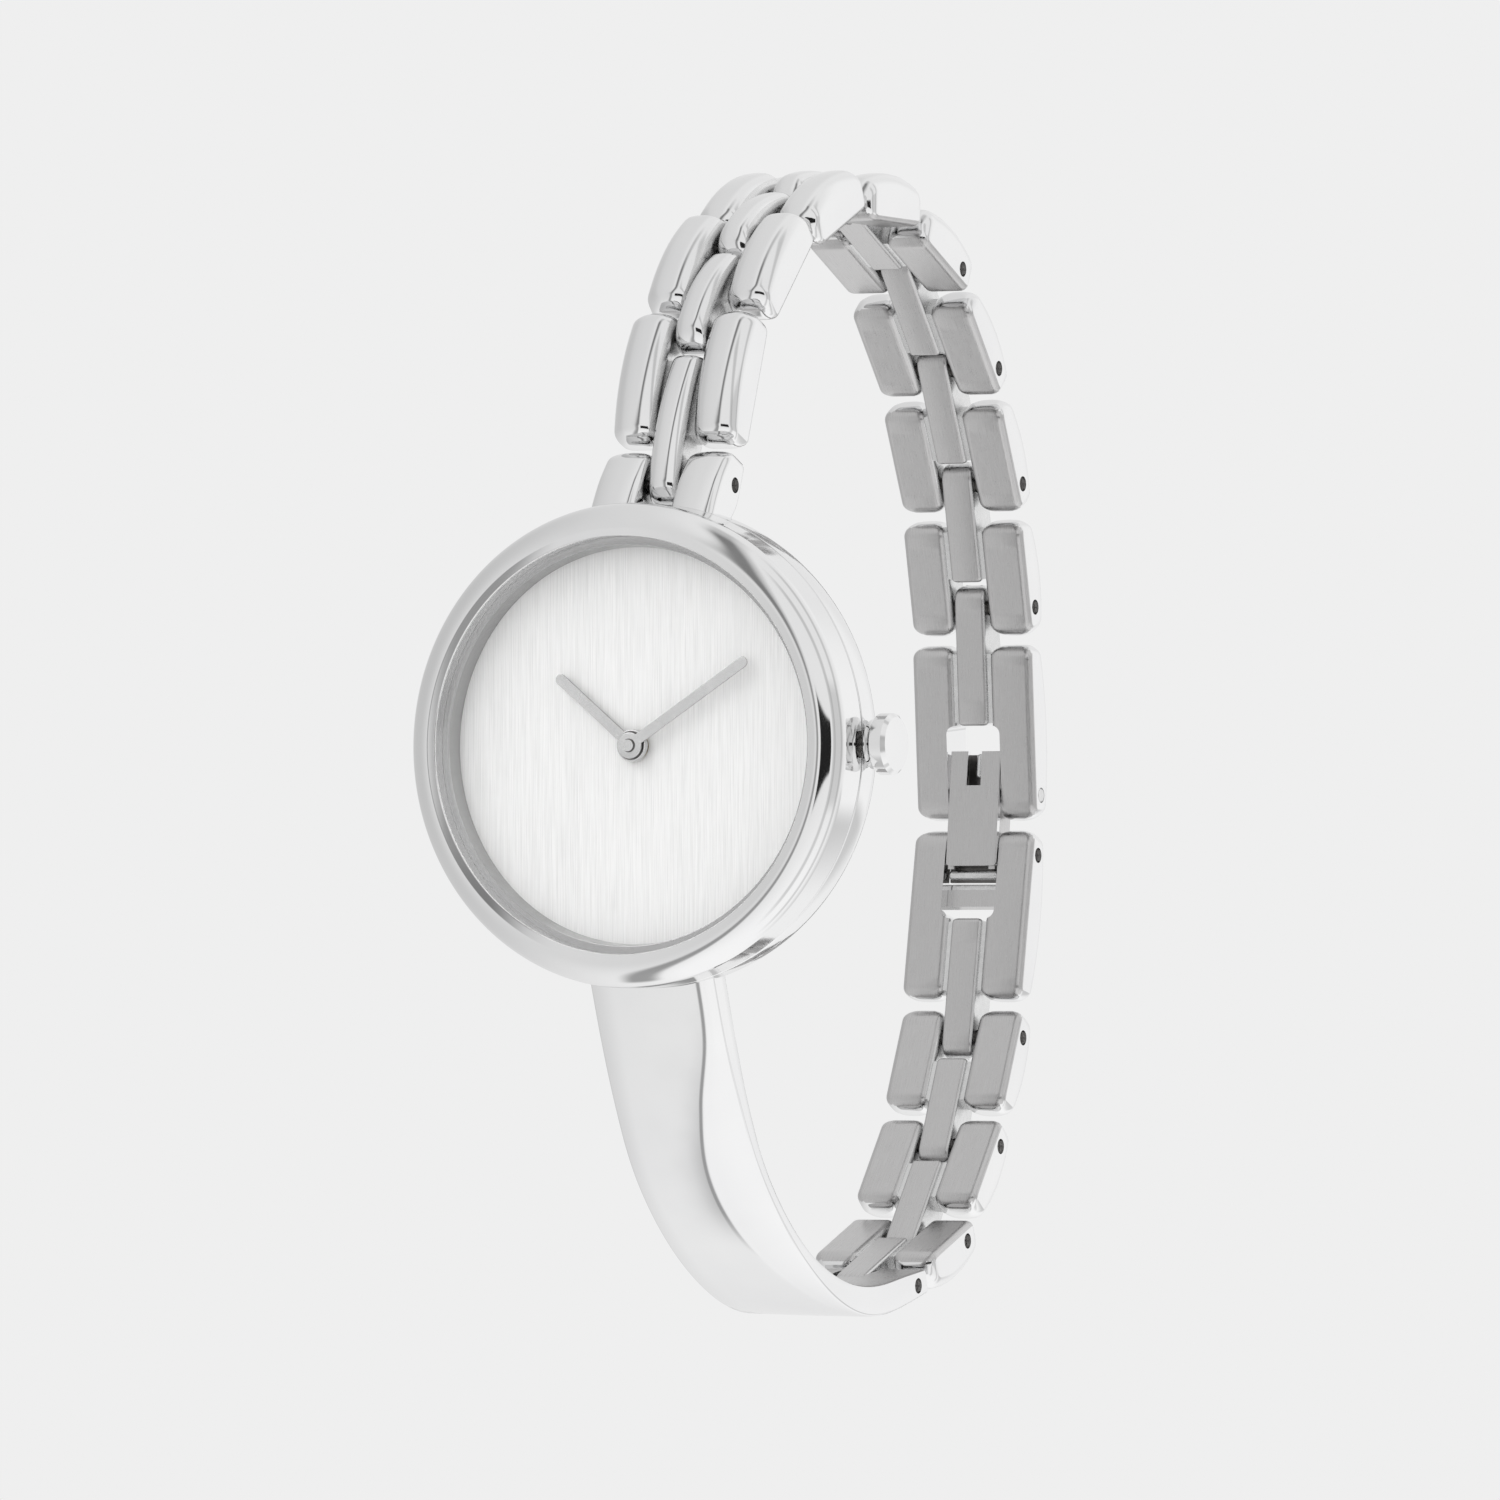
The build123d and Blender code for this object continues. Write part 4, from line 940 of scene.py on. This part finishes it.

# %% [markdown]
# ## Finishes on the CAD pieces that stay
# Pieces whose CAD shape is right keep it and only get a finish. Most of them sit inside the case.

# %% Assign the finishes
# the crown's tube and the pins take the dark steel, which paints the shade in the gap round the crown and in the pin
# holes
kept = {
    "dial": silver, "crystal_gasket": holder, "case_back_gasket": rubber, "crown_gasket": rubber,
    "movement_holder": holder, "movement_plate": brass, "train_bridge": brass, "battery": satin,
    "battery_clip": satin, "circuit_board": board, "coil": copper, "cannon_pinion": hand_steel,
    "hour_wheel": brass, "minute_wheel": brass, "crown_tube": pin_steel, "stem": satin, "setting_lever": satin,
    "catch_pin": satin, "lug_pin": pin_steel, "bangle_pin": pin_steel, "clip_pin": pin_steel,
}
for count in range(1, 9):
    kept[f"link_pin_{count}"] = pin_steel
for count in range(1, 4):
    kept[f"lower_pin_{count}"] = pin_steel
for node, finish in kept.items():
    mesh = frame["nodes"][node].data
    mesh.materials.clear()
    mesh.materials.append(finish)
print("CAD pieces kept", len(kept))

# %% [markdown]
# ## Studio
# The watch hangs in front of a plain pale ground, which is all that the camera sees of the world. The metal mirrors
# a room of its own: pale, with a few soft dark strips that draw the dark lines on polished steel. Three soft lamps
# model the form. The lamps and the floor are hidden from reflections, where they would even the metal out.

# %% Floor and world
def pale_material(name, shade):
    """A matte surface that looks evenly pale to the camera and still throws soft light back at the watch."""
    material, tree, shader = new_material(name)
    shader.inputs["Base Color"].default_value = (shade, shade, shade, 1)
    shader.inputs["Roughness"].default_value = 1.0
    glow = tree.nodes.new("ShaderNodeEmission")
    glow.inputs["Color"].default_value = (shade, shade, shade, 1)
    path = tree.nodes.new("ShaderNodeLightPath")
    mix = tree.nodes.new("ShaderNodeMixShader")
    output = next(node for node in tree.nodes if node.type == "OUTPUT_MATERIAL")
    tree.links.new(path.outputs["Is Camera Ray"], mix.inputs["Fac"])
    tree.links.new(shader.outputs["BSDF"], mix.inputs[1])
    tree.links.new(glow.outputs["Emission"], mix.inputs[2])
    tree.links.new(mix.outputs["Shader"], output.inputs["Surface"])
    return material


ground = 0.863
bm = bmesh.new()
bmesh.ops.create_grid(bm, x_segments=1, y_segments=1, size=3.0)
mesh = bpy.data.meshes.new("floor")
bm.to_mesh(mesh)
bm.free()
floor = bpy.data.objects.new("floor", mesh)
floor.location.z = -0.25
floor.visible_glossy = False
bpy.context.scene.collection.objects.link(floor)
mesh.materials.append(pale_material("pale_floor", ground))

world = bpy.data.worlds.new("studio")
bpy.context.scene.world = world
world.use_nodes = True
tree = world.node_tree
tree.nodes.clear()
seen = tree.nodes.new("ShaderNodeBackground")
seen.inputs["Color"].default_value = (ground, ground, ground, 1)
lit = tree.nodes.new("ShaderNodeBackground")
lit.inputs["Color"].default_value = (1, 1, 1, 1)
lit.inputs["Strength"].default_value = 0.82

room = tree.nodes.new("ShaderNodeBackground")
direction = tree.nodes.new("ShaderNodeTexCoord").outputs["Generated"]
parts = tree.nodes.new("ShaderNodeSeparateXYZ")
tree.links.new(direction, parts.inputs["Vector"])
x, y, z = (parts.outputs[axis] for axis in "XYZ")


def steps(value, start, end, first, last):
    """Goes softly from one number to another as a value goes from start to end."""
    ranged = tree.nodes.new("ShaderNodeMapRange")
    ranged.interpolation_type = "SMOOTHSTEP"
    for socket, number in (("From Min", start), ("From Max", end), ("To Min", first), ("To Max", last)):
        ranged.inputs[socket].default_value = number
    tree.links.new(value, ranged.inputs["Value"])
    return ranged.outputs["Result"]


def sums(operation, first, second=None):
    """One step of arithmetic on two values."""
    math_node = tree.nodes.new("ShaderNodeMath")
    math_node.operation = operation
    for socket, value in zip(math_node.inputs, (first, second)):
        if isinstance(value, (int, float)):
            socket.default_value = value
        elif value is not None:
            tree.links.new(value, socket)
    return math_node.outputs["Value"]


def toward(aim, inside, outside):
    """1 inside a cone of directions and 0 outside a wider one; the angles are in degrees."""
    dot = tree.nodes.new("ShaderNodeVectorMath")
    dot.operation = "DOT_PRODUCT"
    dot.inputs[1].default_value = Vector(aim).normalized()
    tree.links.new(direction, dot.inputs[0])
    return steps(dot.outputs["Value"], math.cos(math.radians(outside)), math.cos(math.radians(inside)), 0, 1)


def strip(value, centre, half, soft):
    """1 where a value is near a centre, falling to 0 beyond it."""
    return steps(sums("ABSOLUTE", sums("SUBTRACT", value, centre)), half, half + soft, 1, 0)


# the room is darker at the left and brighter low down
tone = sums("ADD", steps(x, -0.95, -0.4, 0.68, 0.86), steps(x, -0.4, -0.1, 0.0, 0.11))
tone = sums("MULTIPLY", tone, steps(z, -1.0, 0.0, 1.2, 0.98))
behind = sums("MULTIPLY", steps(y, 0.3, 0.7, 0, 1), steps(x, 0.1, 0.4, 0, 1))
tone = sums("ADD", tone, sums("MULTIPLY", behind, 0.12))
fade = sums("MULTIPLY", steps(z, 0.93, 1.05, 1, 0), steps(y, 0.0, 0.3, 1, 0))
# the strips at the left lean with the height that a ray goes to
tilted = sums("SUBTRACT", x, steps(z, 0.1, 0.9, 0.0, 0.3))
tilted = sums("ADD", tilted, steps(z, -0.9, -0.1, 0.13, 0.0))
right = steps(x, 0.25, 0.5, 0, 1)
above = steps(z, 0.08, 0.25, 0, 1)
level = strip(z, 0, 0.3, 0.12)
# each shade darkens the room by its strength
for shade, strength in (
    (sums("MULTIPLY", strip(tilted, -0.24, 0.035, 0.08), fade), 0.6),
    (sums("MULTIPLY", sums("MULTIPLY", strip(tilted, -0.22, 0.07, 0.12), fade), above), 0.35),
    (sums("MULTIPLY", right, strip(y, -0.45, 0.04, 0.1)), 0.3),
    (sums("MULTIPLY", right, strip(y, 0.2, 0.04, 0.1)), 0.28),
    (sums("MULTIPLY", sums("MULTIPLY", right, level), strip(y, -0.12, 0.26, 0.1)), 0.24),
    (sums("MULTIPLY", toward((0.42, -0.907, 0), 23, 25), strip(z, 0, 0.12, 0.03)), 0.98),
    (sums("MULTIPLY", behind, steps(z, -0.28, -0.18, 1, 0)), 0.36),
):
    tone = sums("MULTIPLY", tone, sums("SUBTRACT", 1.0, sums("MULTIPLY", shade, strength)))
tree.links.new(tone, room.inputs["Color"])
path = tree.nodes.new("ShaderNodeLightPath")
plain = sums("MAXIMUM", path.outputs["Is Camera Ray"], path.outputs["Is Transmission Ray"])
first_mix = tree.nodes.new("ShaderNodeMixShader")
tree.links.new(path.outputs["Is Glossy Ray"], first_mix.inputs["Fac"])
tree.links.new(lit.outputs["Background"], first_mix.inputs[1])
tree.links.new(room.outputs["Background"], first_mix.inputs[2])
mix = tree.nodes.new("ShaderNodeMixShader")
tree.links.new(plain, mix.inputs["Fac"])
tree.links.new(first_mix.outputs["Shader"], mix.inputs[1])
tree.links.new(seen.outputs["Background"], mix.inputs[2])
output = tree.nodes.new("ShaderNodeOutputWorld")
tree.links.new(mix.outputs["Shader"], output.inputs["Surface"])


# %% Lamps and camera
def soft_lamp(name, place, power):
    """A round soft lamp that looks at the middle of the watch."""
    lamp = bpy.data.lights.new(name, "AREA")
    lamp.shape = "DISK"
    lamp.size = 0.6
    lamp.energy = power
    lamp_object = bpy.data.objects.new(name, lamp)
    lamp_object.location = place
    lamp_object.rotation_euler = (-Vector(place)).to_track_quat("-Z", "Y").to_euler()
    lamp_object.visible_glossy = False
    bpy.context.scene.collection.objects.link(lamp_object)


soft_lamp("key", (-0.35, -0.45, 0.5), 1.2)
soft_lamp("fill", (0.6, -0.1, 0.25), 1.0)
soft_lamp("back", (0.1, 0.5, 0.45), 0.8)

sensor_width, photo_width, focal_pixels = 36.0, 1500.0, 12094.2
camera = bpy.data.cameras.new("camera")
camera.sensor_width = sensor_width
camera.lens = focal_pixels * sensor_width / photo_width
camera.clip_start = 0.05
camera_object = bpy.data.objects.new("camera", camera)
camera_object.location = (0.31877, -0.6489, -0.01321)
azimuth, elevation = math.radians(26.53), math.radians(1.06)
level_look = math.cos(elevation)
look = Vector((-math.sin(azimuth) * level_look, math.cos(azimuth) * level_look, math.sin(elevation)))
camera_object.rotation_euler = look.to_track_quat("-Z", "Y").to_euler()
bpy.context.scene.collection.objects.link(camera_object)
bpy.context.scene.camera = camera_object
bpy.context.scene.view_settings.view_transform = "Standard"
print("camera lens", round(camera.lens, 1), "mm")

# %% Update the scene
bpy.context.view_layer.update()
